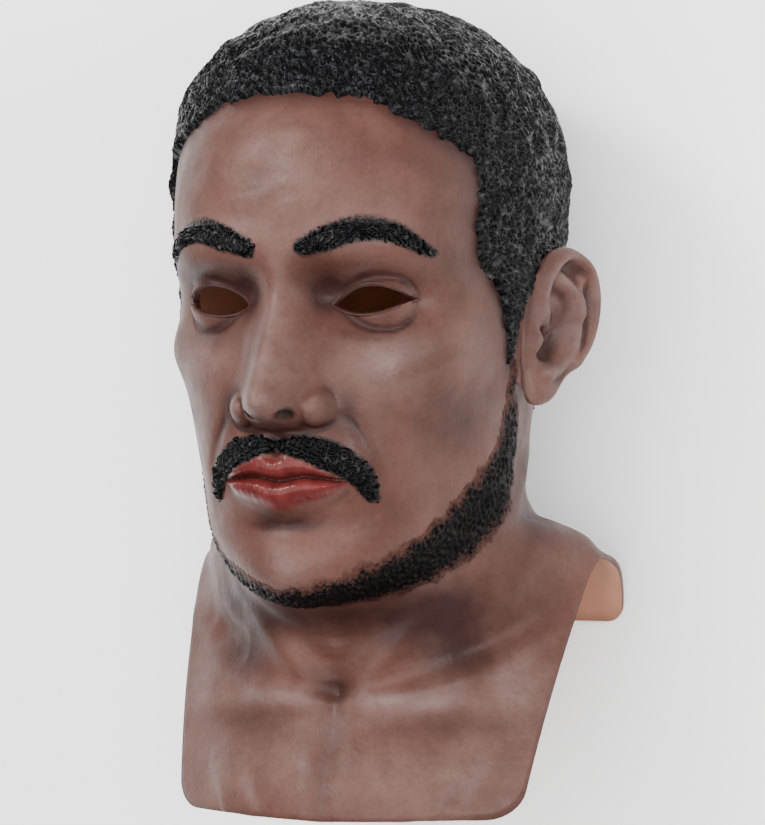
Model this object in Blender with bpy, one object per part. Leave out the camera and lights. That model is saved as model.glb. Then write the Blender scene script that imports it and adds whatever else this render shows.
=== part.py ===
"""A realistic full-head mask of thin latex, with a neck and a chest bib, lying on its back.

The face looks up along +Z and the crown of the head points along +Y. The wearer's left is +X.
The form is a loft round the head's long axis. Its carving is written in parts of the head's
height, and everything that is cut, fitted or worn has a size of its own.
"""

import math

import bmesh
import bpy
import numpy as np
from mathutils import Vector
from mathutils.bvhtree import BVHTree

# Driving dimensions, in metres
HEAD_HEIGHT = 0.252  # from under the chin to the crown of the moulded hair
WALL = 0.0025  # the latex skin
BIB_DROP = 0.091  # from under the chin down to the front hem
BIB_HALF_WIDTH = 0.076  # at the front hem
BIB_CORNER = 0.011  # radius of the front hem's corners
SHOULDER_HALF_WIDTH = 0.091  # at the top of the arm cut
FLAP_DROP = 0.031  # from the top of the arm cut down to the back hem
FLAP_CORNER = 0.006  # radius of the back hem's corners
EYE_OPENING_WIDTH = 0.031
EYE_OPENING_HEIGHT = 0.0125
HAIR_THICKNESS = 0.0085  # on the crown
REST_DEPTH = 0.0030  # how far the back of the head is flattened where the mask lies on it

# Mesh density
COLUMN_COUNT = 132
ROW_COUNT = 128
EAR_COLUMN_COUNT = 36
EAR_ROW_COUNT = 22
TRIANGLE_COUNT = 9600  # at most

# Heights above the eye line, in parts, the carving's own unit of about a millimetre
CROWN = 124.0
CHIN = -116.0
HAIRLINE = 78.0
BROW = 22.0
NOSE_BASE = -47.0
MOUTH = -68.0
EYE_X = 31.5
EYE_RADIUS = 14.5
EYE_FRONT_Z = 81.0  # how far forward the middle of the lids lies
EYE_CENTRE_Z = EYE_FRONT_Z - EYE_RADIUS
PART = HEAD_HEIGHT / (CROWN - CHIN)  # one part in metres

# Stations from the crown down to below the hems, in parts: front (z, y), side (x, y, z), back (z, y),
# then how square the section is in front and behind, where 2 is an ellipse
STATIONS = np.array(
    [
        (-10, 116, 0, 116, -10, -10, 116, 2.0, 2.0),  # crown
        (28, 112.5, 33, 110, -11, -48, 109, 2.1, 2.1),
        (64, 97, 56, 92, -13, -79, 88, 2.15, 2.1),
        (85, 73, 69, 68, -14, -95, 60, 2.2, 2.1),  # hairline
        (94, 46, 73, 42, -14, -98, 34, 2.25, 2.1),  # forehead
        (96, 22, 72.5, 20, -13, -97, 10, 2.25, 2.1),  # brow
        (91, 0, 70.5, 0, -11, -92, -10, 2.2, 2.1),  # eye line
        (89, -24, 69, -22, -8, -84, -28, 2.1, 2.1),  # cheek
        (90.5, -47, 66, -42, -5, -78, -43, 2.05, 2.1),  # nose base
        (91, -67, 64, -57, -4, -75, -56, 2.0, 2.2),  # lips
        (87, -86, 62, -68, -5, -74, -66, 1.92, 2.3),
        (86, -103, 61, -76, -9, -74, -74, 1.85, 2.4),  # chin
        (76, -115, 61.5, -81, -13, -76, -80, 1.85, 2.5),
        (52, -121, 63.5, -85.5, -18, -78, -85, 1.95, 2.5),
        (36, -132, 69.5, -88.5, -25, -81, -90.5, 2.0, 2.5),  # throat
        (31, -150, 78, -93.5, -37, -86, -98, 1.95, 2.5),
        (36, -166, 86, -101.5, -50, -92, -108, 1.85, 2.5),  # collarbones
        (45, -184, 104, -108, -58, -97, -118, 1.75, 2.6),  # chest
        (51, -204, 126, -118, -62, -102.5, -131, 1.7, 2.8),
        (55, -226, 150, -130, -64, -106, -148, 1.65, 3.0),
        (58, -254, 176, -144, -66, -109, -170, 1.65, 3.0),  # past the hems
    ]
)
LAST_STATION = len(STATIONS) - 1
NECK_STATION = 13.0  # below this the rows spread out to reach the hems
BIB_CURL = 22.0  # how far the bib's sides curl back round the chest, in parts


def smoothstep(low, high, value):
    share = np.clip((value - low) / (high - low), 0.0, 1.0)
    return share * share * (3 - 2 * share)


def bump(distance, width):
    return np.exp(-((distance / width) ** 2))


def smooth_max(a, b, softness):
    return 0.5 * (a + b + np.sqrt((a - b) ** 2 + softness**2))


def joined_heights(a, b, softness):
    """The higher of two reliefs, softened only where both stand up."""
    soft = softness * np.clip((a + b) / (2 * softness), 0.0, 1.0)
    return smooth_max(a, b, soft) - 0.5 * soft * np.exp(-np.abs(a - b) / softness)


def spline(knots, values, at):
    """A smooth curve through values at rising knots, flat in slope nowhere but where the points are."""
    knots = np.asarray(knots, float)
    values = np.asarray(values, float)
    slopes = np.gradient(values, knots, axis=0)
    at = np.clip(at, knots[0], knots[-1])
    index = np.clip(np.searchsorted(knots, at, side="right") - 1, 0, len(knots) - 2)
    span = knots[index + 1] - knots[index]
    u = (at - knots[index]) / span
    if values.ndim > 1:
        u, span = u[..., None], span[..., None]
    return (
        (2 * u**3 - 3 * u**2 + 1) * values[index]
        + (u**3 - 2 * u**2 + u) * span * slopes[index]
        + (3 * u**2 - 2 * u**3) * values[index + 1]
        + (u**3 - u**2) * span * slopes[index + 1]
    )


def base_form(angle, station):
    """Points on the plain head, neck and bib, in parts. Angle 0 is the face and +90 degrees the left side."""
    row = spline(np.arange(LAST_STATION + 1), STATIONS, station)
    front_z, front_y, side_x, side_y, side_z, back_z, back_y, front_n, back_n = np.moveaxis(row, -1, 0)
    c, s = np.cos(angle), np.sin(angle)
    in_front = c > 0
    end_z = np.where(in_front, front_z, back_z)
    end_y = np.where(in_front, front_y, back_y)
    power = 2 / np.where(in_front, front_n, back_n)
    x = side_x * np.sign(s) * np.abs(s) ** power
    z = side_z + (end_z - side_z) * np.abs(c) ** power
    y = side_y + (end_y - side_y) * c * c
    curl = BIB_CURL * smoothstep(14.5, 17.0, station) * np.maximum(c, 0)
    return x, y, z - curl * (x / 80) ** 2


# Where the latex is cut off below
ARM_TOP = -101.0
FRONT_HEM = CHIN - BIB_DROP / PART
BACK_HEM = ARM_TOP - FLAP_DROP / PART
FLAP_TAPER = 6.0


def past_edge(x, y, in_front):
    """How far a point lies outside the cut edge of the bib or the back flap, in parts."""
    low = np.where(in_front, FRONT_HEM, BACK_HEM)
    half_top = SHOULDER_HALF_WIDTH / PART
    half_low = np.where(in_front, BIB_HALF_WIDTH / PART, half_top - FLAP_TAPER)
    radius = np.where(in_front, BIB_CORNER, FLAP_CORNER) / PART
    share = np.clip((ARM_TOP - y) / (ARM_TOP - low), 0.0, 1.2)
    beside = np.abs(x) - (half_top + (half_low - half_top) * share) + radius
    below = low - y + radius
    outside = np.hypot(np.maximum(beside, 0), np.maximum(below, 0))
    return outside + np.minimum(np.maximum(beside, below), 0) - radius


def edge_station(angle):
    """The station at which each column of the loft reaches the cut edge."""
    low = np.full_like(angle, NECK_STATION)
    high = np.full_like(angle, float(LAST_STATION))
    for _ in range(40):
        middle = 0.5 * (low + high)
        x, y, _z = base_form(angle, middle)
        outside = past_edge(x, y, np.cos(angle) > 0) > 0
        high = np.where(outside, middle, high)
        low = np.where(outside, low, middle)
    return low


# How closely the columns lie, by degrees round from the face: they crowd on the face and the hem's corners
COLUMN_DEGREES = (0, 30, 33, 42, 46, 60, 90, 148, 154, 160, 180)
COLUMN_DENSITY = (3.6, 3.0, 4.2, 4.2, 2.6, 2.4, 1.7, 1.5, 2.6, 1.3, 1.0)


def column_angles(count):
    """Angles round the head, from the back past the right side, the face and the left side."""
    fine = np.linspace(-180, 180, 7201)
    density = np.interp(np.abs(fine), COLUMN_DEGREES, COLUMN_DENSITY)
    total = np.concatenate([[0], np.cumsum(0.5 * (density[1:] + density[:-1]))])
    return np.radians(np.interp((np.arange(count) + 0.5) / count * total[-1], total, fine))


# How closely the rows lie, by station: they crowd at the eyes, under the nose and at the mouth
ROW_STATIONS = (0, 4, 5, 6, 7, 7.7, 8.1, 8.6, 9.0, 9.6, 12, 13, 15, 19)
ROW_DENSITY = (1.2, 1.6, 3.4, 4.6, 3.4, 6.5, 7.5, 4.6, 6.5, 4.2, 3.0, 2.4, 1.8, 1.6)
FIRST_STATION = 0.12  # the first ring round the crown's pole


def row_stations(count, last):
    """Stations of the rows, from the crown's first ring to the station named last."""
    fine = np.linspace(FIRST_STATION, last, 4000)
    total = np.cumsum(np.interp(fine, ROW_STATIONS, ROW_DENSITY))
    return np.interp(np.linspace(total[0], total[-1], count), total, fine)


def loft_grid(columns, rows):
    """Angles and stations of a grid over the whole skin, each of shape (rows, columns)."""
    angles = column_angles(columns)
    ends = edge_station(angles)
    last = 18.0
    stations = row_stations(rows, last)[:, None]
    below_neck = np.maximum(stations - NECK_STATION, 0) / (last - NECK_STATION)
    grid = np.minimum(stations, NECK_STATION) + below_neck * (ends[None, :] - NECK_STATION)
    return np.broadcast_to(angles[None, :], grid.shape), grid


def grid_normals(points):
    """Outward unit normals of a closed-round grid of points, shape (rows, columns, 3)."""
    around = np.roll(points, -1, axis=1) - np.roll(points, 1, axis=1)
    down = np.gradient(points, axis=0)
    normals = np.cross(around, down)
    normals /= np.maximum(np.linalg.norm(normals, axis=-1, keepdims=True), 1e-9)
    outward = np.sign((normals * (points - points.mean(axis=(0, 1)))).sum())
    return normals * outward


# Broad soft forms: centre (x, y, z), reach (x, y, z) and height, mirrored, in parts
SOFT_FORMS = (
    ((21, 20.5, 92), (17, 7, 30), 2.6),  # brow ridge, inner
    ((40, 21, 80), (15, 7, 30), 2.4),  # brow ridge, outer
    ((0, 16, 96), (9, 9, 30), 1.6),  # between the brows
    ((27, 50, 90), (20, 18, 40), 1.6),  # forehead's boss
    ((70, 26, 40), (20, 22, 26), -2.6),  # temple
    ((54, -18, 56), (15, 12, 24), 4.6),  # cheekbone
    ((36, -26, 80), (14, 13, 30), 2.2),  # front of the cheek
    ((50, -58, 50), (13, 17, 26), -2.4),  # hollow under the cheekbone
    ((0, -103, 86), (17, 10, 30), 3.6),  # chin's boss
    ((0, -86.5, 86), (17, 4.5, 30), -1.8),  # crease over the chin
    ((54, -74, 10), (16, 12, 18), 2.6),  # corner of the jaw
    ((0, -58, 90), (24, 12, 30), 2.4),  # fullness behind the mouth
)

# Cords and bones under the skin of the neck and bib: a path, its width and its height, mirrored
NECK_FORMS = (
    (((63, -62, -22), (46, -98, 6), (24, -132, 26), (8, -154, 30)), 7.5, 4.2),  # neck muscle
    (((7, -158, 32), (26, -156, 27), (52, -146, 6), (78, -128, -22)), 5.0, 3.6),  # collarbone
    (((40, -140, 14), (62, -130, -8)), 8.0, -4.4),  # hollow above the collarbone
    (((0, -150, 31), (0, -157, 32)), 7.0, -3.2),  # notch between the collarbones
    (((0, -132, 36), (0, -140, 35)), 7.0, 2.6),  # throat
    (((0, -170, 38), (0, -205, 52)), 6.0, -1.4),  # breastbone's furrow
    (((34, -188, 40), (48, -200, 34)), 22.0, 3.0),  # chest muscle
    (((60, -92, -34), (86, -100, -52)), 10.0, 1.6),  # shoulder muscle
)


def path_distance(points, path):
    """Distance from each point to a path of straight stretches, and the share of the path passed there."""
    nearest = np.full(points.shape[:-1], np.inf)
    share = np.zeros(points.shape[:-1])
    path = np.asarray(path, float)
    for index in range(len(path) - 1):
        step = path[index + 1] - path[index]
        along = np.clip(((points - path[index]) @ step) / (step @ step), 0, 1)
        away = np.linalg.norm(points - path[index] - along[..., None] * step, axis=-1)
        closer = away < nearest
        nearest = np.where(closer, away, nearest)
        share = np.where(closer, (index + along) / (len(path) - 1), share)
    return nearest, share


def smooth_path(path, steps=6):
    """The path's points with others between them on a smooth curve."""
    at = np.linspace(0, len(path) - 1, (len(path) - 1) * steps + 1)
    return spline(np.arange(len(path)), path, at)


def folded_over(points):
    """Points of the right side folded onto the left, where the carving is written."""
    return np.concatenate([np.abs(points[..., :1]), points[..., 1:]], axis=-1)


def soft_relief(points):
    """Height of the broad forms of the face and neck along the skin's normal."""
    folded = folded_over(points)
    height = np.zeros(points.shape[:-1])
    for centre, reach, amount in SOFT_FORMS:
        height += amount * np.exp(-(((folded - centre) / reach) ** 2).sum(-1))
    for path, width, amount in NECK_FORMS:
        distance, share = path_distance(folded, smooth_path(path))
        fade = smoothstep(-0.15, 0.25, share) * smoothstep(1.15, 0.75, share)
        height += amount * bump(distance, width) * fade
    return height


# The nose in profile: heights above the eye line and how far it stands off the face there
NOSE_Y = (-53.0, -50.0, -47.5, -45.0, -42.0, -38.0, -31.0, -20.0, -8.0, 3.0, 12.0, 20.0)
NOSE_OUT = (0.0, 1.8, 9.0, 19.0, 25.0, 27.0, 24.0, 17.5, 10.5, 5.0, 2.0, 0.0)
NOSE_HALF = (9.0, 9.5, 10.5, 11.5, 12.6, 13.0, 12.6, 11.6, 10.4, 9.6, 10.0, 11.0)
WING_X, WING_Y, WING_RADII, WING_OUT = 14.4, -40.8, (7.0, 8.0), 12.0
NOSTRIL = (7.6, -46.0, 106.0)
NOSTRIL_RADII = (3.9, 3.6, 5.2)
NOSTRIL_DEPTH = 4.2


def nose_height(x, y):
    out = spline(NOSE_Y, NOSE_OUT, y)
    half = spline(NOSE_Y, NOSE_HALF, y)
    ridge = out * np.exp(-np.abs(x / half) ** 2.2)
    reach = ((np.abs(x) - WING_X) / WING_RADII[0]) ** 2 + ((y - WING_Y) / WING_RADII[1]) ** 2
    wing = WING_OUT * np.sqrt(np.clip(1 - reach, 0, 1))
    return joined_heights(ridge, wing, 4.0)


# The mouth, calm and closed
MOUTH_HALF = 26.0
UPPER_LIP, LOWER_LIP = 9.6, 11.5
UPPER_OUT, LOWER_OUT = 5.2, 6.4


def mouth_lines(x):
    """Heights of the upper lip's border, the line between the lips and the lower lip's border."""
    side = np.clip(np.abs(x) / MOUTH_HALF, 0, 1)
    taper = (1 - side**2) ** 0.75
    line = MOUTH - 0.9 * bump(np.abs(x), 5.0) + 0.8 * bump(np.abs(x) - 11, 6.0) - 1.2 * side**4
    upper = line + UPPER_LIP * taper * (1 - 0.13 * bump(x, 3.6) - 0.22 * side)
    lower = line - LOWER_LIP * taper
    return upper, line, lower


def lip_height(x, y):
    upper, line, lower = mouth_lines(x)
    side = smoothstep(MOUTH_HALF + 2.0, MOUTH_HALF - 9.0, np.abs(x))
    above = (y - line) / np.maximum(upper - line, 2.6)
    under = (line - y) / np.maximum(line - lower, 2.6)
    top_knots = (-1.0, 0.0, 0.12, 0.4, 0.75, 1.0, 1.25, 1.8, 2.6)
    top_heights = (-0.3, -0.25, 0.45, 0.98, 0.95, 0.72, 0.36, 0.12, 0.0)
    low_knots = (-1.0, 0.0, 0.12, 0.4, 0.7, 1.0, 1.3, 1.8, 2.4)
    low_heights = (-0.3, -0.25, 0.45, 1.0, 0.92, 0.5, 0.16, 0.02, 0.0)
    top = UPPER_OUT * spline(top_knots, top_heights, above)
    low = LOWER_OUT * spline(low_knots, low_heights, under)
    return side * np.where(y > line, top, low)


def eye_socket(x, y):
    """Depth of the socket and height of the folds round it, before the eyeball's lids."""
    dx = np.abs(x) - EYE_X
    socket = -10.5 * np.exp(-((dx + 1) / 21) ** 2 - ((y - 0.5) / 13.5) ** 2)
    inner = -3.2 * np.exp(-((dx + 15) / 7) ** 2 - ((y - 3) / 9) ** 2)
    fold = 3.4 * np.exp(-((dx - 4) / 19) ** 2 - ((y - 13.5 + 0.006 * dx**2) / 4.6) ** 2)
    bag = 1.0 * np.exp(-((dx + 1) / 15) ** 2 - ((y + 15 - 0.012 * dx**2) / 3.2) ** 2)
    return socket + inner + fold + bag


def lid_front(x, y):
    """How far forward the lids lie over the eyeball."""
    dx = np.abs(x) - EYE_X
    inside = np.clip(EYE_RADIUS**2 - dx**2 - (y / 0.96) ** 2, 0, None)
    return EYE_CENTRE_Z + np.sqrt(inside)


def nasolabial(x, y):
    """The shallow fold from the wing of the nose past the corner of the mouth."""
    points = np.stack([np.abs(x), y], -1)
    distance, share = path_distance(points, smooth_path(((23, -40), (30, -54), (35, -70), (35, -80))))
    fade = smoothstep(0.0, 0.2, share) * smoothstep(1.0, 0.55, share)
    return -1.3 * bump(distance, 2.6) * fade


def philtrum(x, y):
    rows = smoothstep(-63, -58, y) * smoothstep(-50, -53, y)
    return rows * (-1.5 * bump(x, 2.9) + 0.8 * bump(np.abs(x) - 5.0, 2.2))


# Outline of the hair on the skin, unrolled: degrees round from the face and height above the eye line
HAIR_OUTLINE = (
    (0, 79),
    (20, 77),
    (30, 73),
    (36, 69),
    (43, 65.5),
    (50, 60.5),
    (57, 56),
    (60.5, 49),
    (61, 39),
    (61, 28),
    (62.5, 16),
    (67, 9),
    (71.5, -1),
    (74, -13),
    (76, -25),
    (79, -12),
    (81, 4),
    (86, 20),
    (98, 26),
    (109, 14),
    (116, -12),
    (124, -38),
    (138, -55),
    (160, -64),
    (180, -67),
)
DEGREE_PARTS = 1.3  # arc length of one degree round the head
HAIR_HOLLOW = 0.8  # the share of the hair's thickness that the inside follows
BROW_PATH = ((11.5, 19.5), (21, 23), (32, 26.5), (43, 25), (52.5, 18))
MOUSTACHE_PATH = ((0, -55.5), (10, -56), (20, -59.5), (28, -66), (31.5, -75))


def inside_outline(points, outline):
    """True where points lie inside a closed outline in the plane."""
    inside = np.zeros(points.shape[:-1], bool)
    px, py = points[..., 0], points[..., 1]
    for (ax, ay), (bx, by) in zip(outline, np.roll(outline, -1, axis=0)):
        if ay == by:
            continue
        crosses = (ay > py) != (by > py)
        inside ^= crosses & (px < (bx - ax) * (py - ay) / (by - ay) + ax)
    return inside


def hair_reach(angle, y):
    """How far inside the hair's edge each point lies, in parts, negative outside it."""
    points = np.stack([np.abs(np.degrees(angle)) * DEGREE_PARTS, y], -1)
    edge = smooth_path(np.array(HAIR_OUTLINE, float) * [DEGREE_PARTS, 1.0], 4)
    distance, _share = path_distance(points, edge)
    outline = np.concatenate([edge, [[260.0, 200.0], [-20.0, 200.0], [-20.0, edge[0, 1]]]])
    outline[len(edge) - 1, 0] = 260.0
    return np.where(inside_outline(points, outline), distance, -distance)


def hair_height(angle, y, crisp):
    """Height of the hair, with a crisp edge outside and a soft one inside."""
    reach = hair_reach(angle, y)
    crown = HAIR_THICKNESS / PART
    full = 4.2 + (crown - 4.2) * smoothstep(20, 90, y)
    edge = smoothstep(-0.5, 1.6, reach) if crisp else smoothstep(1.0, 9.0, reach)
    return edge * (2.6 + (full - 2.6) * smoothstep(2, 26, reach))


def painted_relief(x, y, z):
    """The moulded eyebrows and moustache, as low raised bands."""
    plane = np.stack([np.abs(x), y], -1)
    in_front = smoothstep(20, 50, z)
    brow, brow_share = path_distance(plane, smooth_path(BROW_PATH))
    brow_half = 4.6 * smoothstep(-0.25, 0.2, brow_share) * (1.15 - 0.75 * brow_share)
    lip, lip_share = path_distance(plane, smooth_path(MOUSTACHE_PATH))
    lip_half = 5.2 * (1.05 - 0.55 * lip_share)
    brows = 1.3 * smoothstep(brow_half + 0.8, brow_half - 1.2, brow)
    lips = 1.1 * smoothstep(lip_half + 0.8, lip_half - 1.2, lip)
    return in_front * (brows + lips)


def carve(angle, station, detail):
    """The finished skin in parts. Detail 1 is the outside and 0 the smoother form inside it."""
    points = np.stack(base_form(angle, station), -1)
    normals = grid_normals(points)
    on_head = smoothstep(14.0, 13.0, station)
    points = points + normals * soft_relief(points)[..., None]
    x, y, z = np.moveaxis(points, -1, 0)
    in_front = smoothstep(12, 44, z) * on_head
    forward = eye_socket(x, y)
    if detail:
        forward = forward + nose_height(x, y) + lip_height(x, y) + nasolabial(x, y) + philtrum(x, y)
        forward = forward + painted_relief(x, y, z)
    else:
        forward = forward + 0.7 * nose_height(x * 1.25, y - 5.5)
    z = z + in_front * forward
    near_eye = in_front * smoothstep(1.35, 1.05, np.hypot(np.abs(x) - EYE_X, y) / EYE_RADIUS)
    lids = joined_lids(x, y, z)
    z = z + near_eye * (lids - z)
    hair = hair_height(angle, y, detail) * on_head
    if detail:
        x, y, z = sink_nostrils(x, y, z)
    else:
        hair = HAIR_HOLLOW * hair
    return np.stack([x, y, z], -1) + normals * hair[..., None]


def joined_lids(x, y, z):
    lid = lid_front(x, y)
    return np.where(lid > EYE_CENTRE_Z, smooth_max(z, lid, 1.6), z)


def sink_nostrils(x, y, z):
    away = np.stack([np.abs(x), y, z], -1) - NOSTRIL
    depth = NOSTRIL_DEPTH * smoothstep(1.15, 0.35, np.linalg.norm(away / NOSTRIL_RADII, axis=-1))
    return x, y + 0.85 * depth, z - 0.45 * depth


def skin_grids(columns, rows):
    """The outer and inner skins as grids of points in parts, lying on the floor they rest on."""
    angles, stations = loft_grid(columns, rows)
    outer = carve(angles, stations, 1)
    smooth = carve(angles, stations, 0)
    wall = WALL / PART
    inner = smooth - grid_normals(smooth) * wall
    head_rows = stations[:, 0] < 9
    floor = outer[head_rows][..., 2].min() + REST_DEPTH / PART
    outer[..., 2] = np.maximum(outer[..., 2], floor)
    inner[..., 2] = np.maximum(inner[..., 2], floor + wall)
    return outer, inner


def grid_faces(rows, columns, first):
    faces = []
    for row in range(rows - 1):
        for column in range(columns):
            after = (column + 1) % columns
            here = first + row * columns
            below = here + columns
            faces.append((here + column, below + column, below + after, here + after))
    return faces


def cap_faces(columns, first, pole):
    return [(pole, first + column, first + (column + 1) % columns) for column in range(columns)]


def closed_object(name, points, faces):
    """An object from points in parts and faces, its normals turned outward."""
    mesh = bpy.data.meshes.new(name)
    mesh.from_pydata([tuple(point) for point in np.asarray(points) * PART], [], faces)
    work = bmesh.new()
    work.from_mesh(mesh)
    bmesh.ops.recalc_face_normals(work, faces=work.faces)
    work.to_mesh(mesh)
    work.free()
    mesh.shade_smooth()
    made = bpy.data.objects.new(name, mesh)
    bpy.context.scene.collection.objects.link(made)
    return made


def shell_object(outer, inner):
    """The closed skin: outside, inside and the cut edge between them."""
    rows, columns = outer.shape[:2]
    count = rows * columns
    poles = np.array([outer[0].mean(axis=0), inner[0].mean(axis=0)])
    points = np.concatenate([outer.reshape(-1, 3), inner.reshape(-1, 3), poles])
    faces = grid_faces(rows, columns, 0)
    faces += cap_faces(columns, 0, 2 * count)
    faces += [face[::-1] for face in grid_faces(rows, columns, count)]
    faces += [face[::-1] for face in cap_faces(columns, count, 2 * count + 1)]
    edge = (rows - 1) * columns
    for column in range(columns):
        after = (column + 1) % columns
        faces.append((edge + column, count + edge + column, count + edge + after, edge + after))
    return closed_object("mask", points, faces)


# The ear, drawn flat: back from its root and up, in parts
EAR_AT = (-9.0, -9.0)  # the middle's height above the eye line and its place along Z
EAR_TILT = math.radians(10)
EAR_SWING = math.radians(25)
EAR_SINK = 1.3  # how far the ear's root goes into the wall
EAR_POLE = (0.5, -2.0)
EAR_OUTLINE = (
    (2, 33),
    (11, 30),
    (17, 21.5),
    (19.5, 10),
    (18, -2),
    (13, -12.5),
    (7.5, -22),
    (2, -30),
    (-4.5, -32),
    (-9, -27),
    (-11.5, -18),
    (-13, -8),
    (-13.5, 2),
    (-13, 11),
    (-11.5, 21),
    (-6, 30),
)
EAR_RIM = (
    (-3, -1),
    (-8, 3),
    (-10.5, 10),
    (-9, 20),
    (-3.5, 27.5),
    (3, 29.5),
    (10.5, 26),
    (15, 17.5),
    (16.3, 7),
    (14.6, -4),
    (10, -13),
)
EAR_FOLD = ((-3, 19), (3, 16), (7.5, 9), (8.7, -1), (7, -9), (3, -15), (-1.5, -18))
EAR_FORK = ((8, 21), (8, 14), (8, 7))
EAR_RIDGES = ((EAR_RIM, 2.7, 4.2), (EAR_FOLD, 3.1, 3.4), (EAR_FORK, 2.4, 1.8))  # path, width, height


def ear_front(u, v):
    """How far the front of the ear stands off the side of the head."""
    height = 2.6 + (u + 13.5) * math.tan(EAR_SWING)
    before = smoothstep(-14.0, -9.0, u + 6 * smoothstep(16, 27, np.abs(v)))
    plane = np.stack([u, v], -1)
    for path, width, amount in EAR_RIDGES:
        distance, _share = path_distance(plane, smooth_path(path, 4))
        height = height + amount * bump(distance, width)
    height = height - 4.6 * np.exp(-((((u + 1.5) / 7.0) ** 2 + ((v + 5) / 10.0) ** 2) ** 1.5))
    height = height + 5.0 * np.exp(-(((u + 10.5) / 3.2) ** 2) - ((v + 7) / 4.8) ** 2)
    height = height + 1.8 * np.exp(-(((u + 2) / 6) ** 2) - ((v + 25) / 5) ** 2)
    return before * np.maximum(height, 2.2) - 0.3 * (1 - before)


def ear_sheet(columns, front_rings, back_rings):
    """Rings (u, v, w) from the middle of the ear's front over its rim and down its back to the root."""
    outline = np.array(EAR_OUTLINE + EAR_OUTLINE[:3], float)
    at = np.arange(columns) / columns * len(EAR_OUTLINE) + 1
    rim = spline(np.arange(len(outline)), outline, at)
    pole = np.array(EAR_POLE)
    shares = np.sin(np.linspace(0, math.pi / 2, front_rings + 1)[1:])[:, None, None]
    flat = pole + (rim - pole) * shares
    height = ear_front(flat[..., 0], flat[..., 1])
    from_rim = (1 - shares[..., 0]) * np.linalg.norm(rim - pole, axis=-1)
    rounding = np.clip(1 - from_rim / 2.4, 0, 1)
    height = height - 1.8 * (1 - np.sqrt(1 - rounding**2)) * smoothstep(0, 4, height)
    front = np.concatenate([flat, height[..., None]], -1)
    before = smoothstep(-6, -11, rim[:, 0])
    root = np.stack([-13.7 + (rim[:, 0] + 13.7) * 0.42, rim[:, 1] * (0.7 + 0.24 * before) - 1], -1)
    edge = front[-1, :, 2] - 0.3 - smoothstep(0, 4, front[-1, :, 2])
    inward = np.linspace(0, 1, back_rings + 1)[1:, None]
    back_flat = rim + (root - rim) * inward[..., None]
    drop = 0.42 * inward + 0.58 * inward**4
    back_height = edge - (edge + EAR_SINK) * drop
    back = np.concatenate([back_flat, back_height[..., None]], -1)
    return np.concatenate([front, back])


def place_ear(sheet, columns, tree):
    """The ear's rings on the left side of the head, in parts, with its root sunk into the skin."""
    u, v, w = np.moveaxis(sheet, -1, 0)
    back = u * math.cos(EAR_TILT) + v * math.sin(EAR_TILT)
    up = v * math.cos(EAR_TILT) - u * math.sin(EAR_TILT)
    y = EAR_AT[0] + up
    z = EAR_AT[1] - back
    root = [skin_beside(tree, y[-1, column], z[-1, column]) for column in range(columns)]
    slopes = np.stack([np.ones(columns), y[-1], z[-1]], -1)
    plane = np.linalg.lstsq(slopes, np.array(root), rcond=None)[0]
    x = plane[0] + plane[1] * y + plane[2] * z + w
    uneven = np.array(root) - EAR_SINK - x[-1]
    x = x + uneven * np.exp(-np.maximum(w + EAR_SINK, 0) / 8)
    return np.stack([x, y, z], -1)


def skin_beside(tree, y, z):
    """Where the left side of the skin lies at a height and depth, looking in from the side."""
    hit = tree.ray_cast(Vector((200.0, y, z)), Vector((-1.0, 0.0, 0.0)))[0]
    return hit.x


def ear_object(name, tree, side):
    front_rings, back_rings = 14, EAR_ROW_COUNT - 14
    sheet = ear_sheet(EAR_COLUMN_COUNT, front_rings, back_rings)
    rings = place_ear(sheet, EAR_COLUMN_COUNT, tree)
    poles = [rings[0].mean(axis=0), rings[-1].mean(axis=0)]
    points = np.concatenate([rings.reshape(-1, 3), poles]) * [side, 1, 1]
    count = len(rings) * EAR_COLUMN_COUNT
    faces = grid_faces(len(rings), EAR_COLUMN_COUNT, 0)
    faces += cap_faces(EAR_COLUMN_COUNT, 0, count)
    faces += [face[::-1] for face in cap_faces(EAR_COLUMN_COUNT, count - EAR_COLUMN_COUNT, count + 1)]
    return closed_object(name, points, faces)


def almond(columns):
    """The eye opening's outline about the eye's middle, in parts."""
    half = EYE_OPENING_WIDTH / PART / 2
    upper = 0.58 * EYE_OPENING_HEIGHT / PART
    lower = 0.42 * EYE_OPENING_HEIGHT / PART
    turn = np.arange(columns) / columns * 2 * math.pi
    across = np.cos(turn)
    lift = np.where(np.sin(turn) > 0, upper, -lower) * (1 - across**2) ** 0.8
    return np.stack([half * across, lift - 0.8 + 1.2 * across], -1)


def eye_cutter(name, side):
    """A straight prism through the lids, left out of the model itself."""
    outline = almond(44)
    count = len(outline)
    points = []
    for z in (55.0, 118.0):
        points += [(side * (EYE_X + x), y, z) for x, y in outline]
    faces = [tuple(range(count)), tuple(range(2 * count - 1, count - 1, -1))]
    for index in range(count):
        after = (index + 1) % count
        faces.append((index, index + count, after + count, after))
    return closed_object(name, points, faces)


def latex():
    """Brown latex, satin, as painted on the outside."""
    material = bpy.data.materials.new("brown latex")
    material.use_nodes = True
    shader = material.node_tree.nodes["Principled BSDF"]
    shader.inputs["Base Color"].default_value = (0.19, 0.088, 0.066, 1.0)
    shader.inputs["Roughness"].default_value = 0.45
    shader.inputs["Metallic"].default_value = 0.0
    return material


def use_tool(target, tool, operation):
    tool.hide_render = True
    tool.display_type = "WIRE"
    modifier = target.modifiers.new(tool.name, "BOOLEAN")
    modifier.operation = operation
    modifier.solver = "EXACT"
    modifier.object = tool


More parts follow.
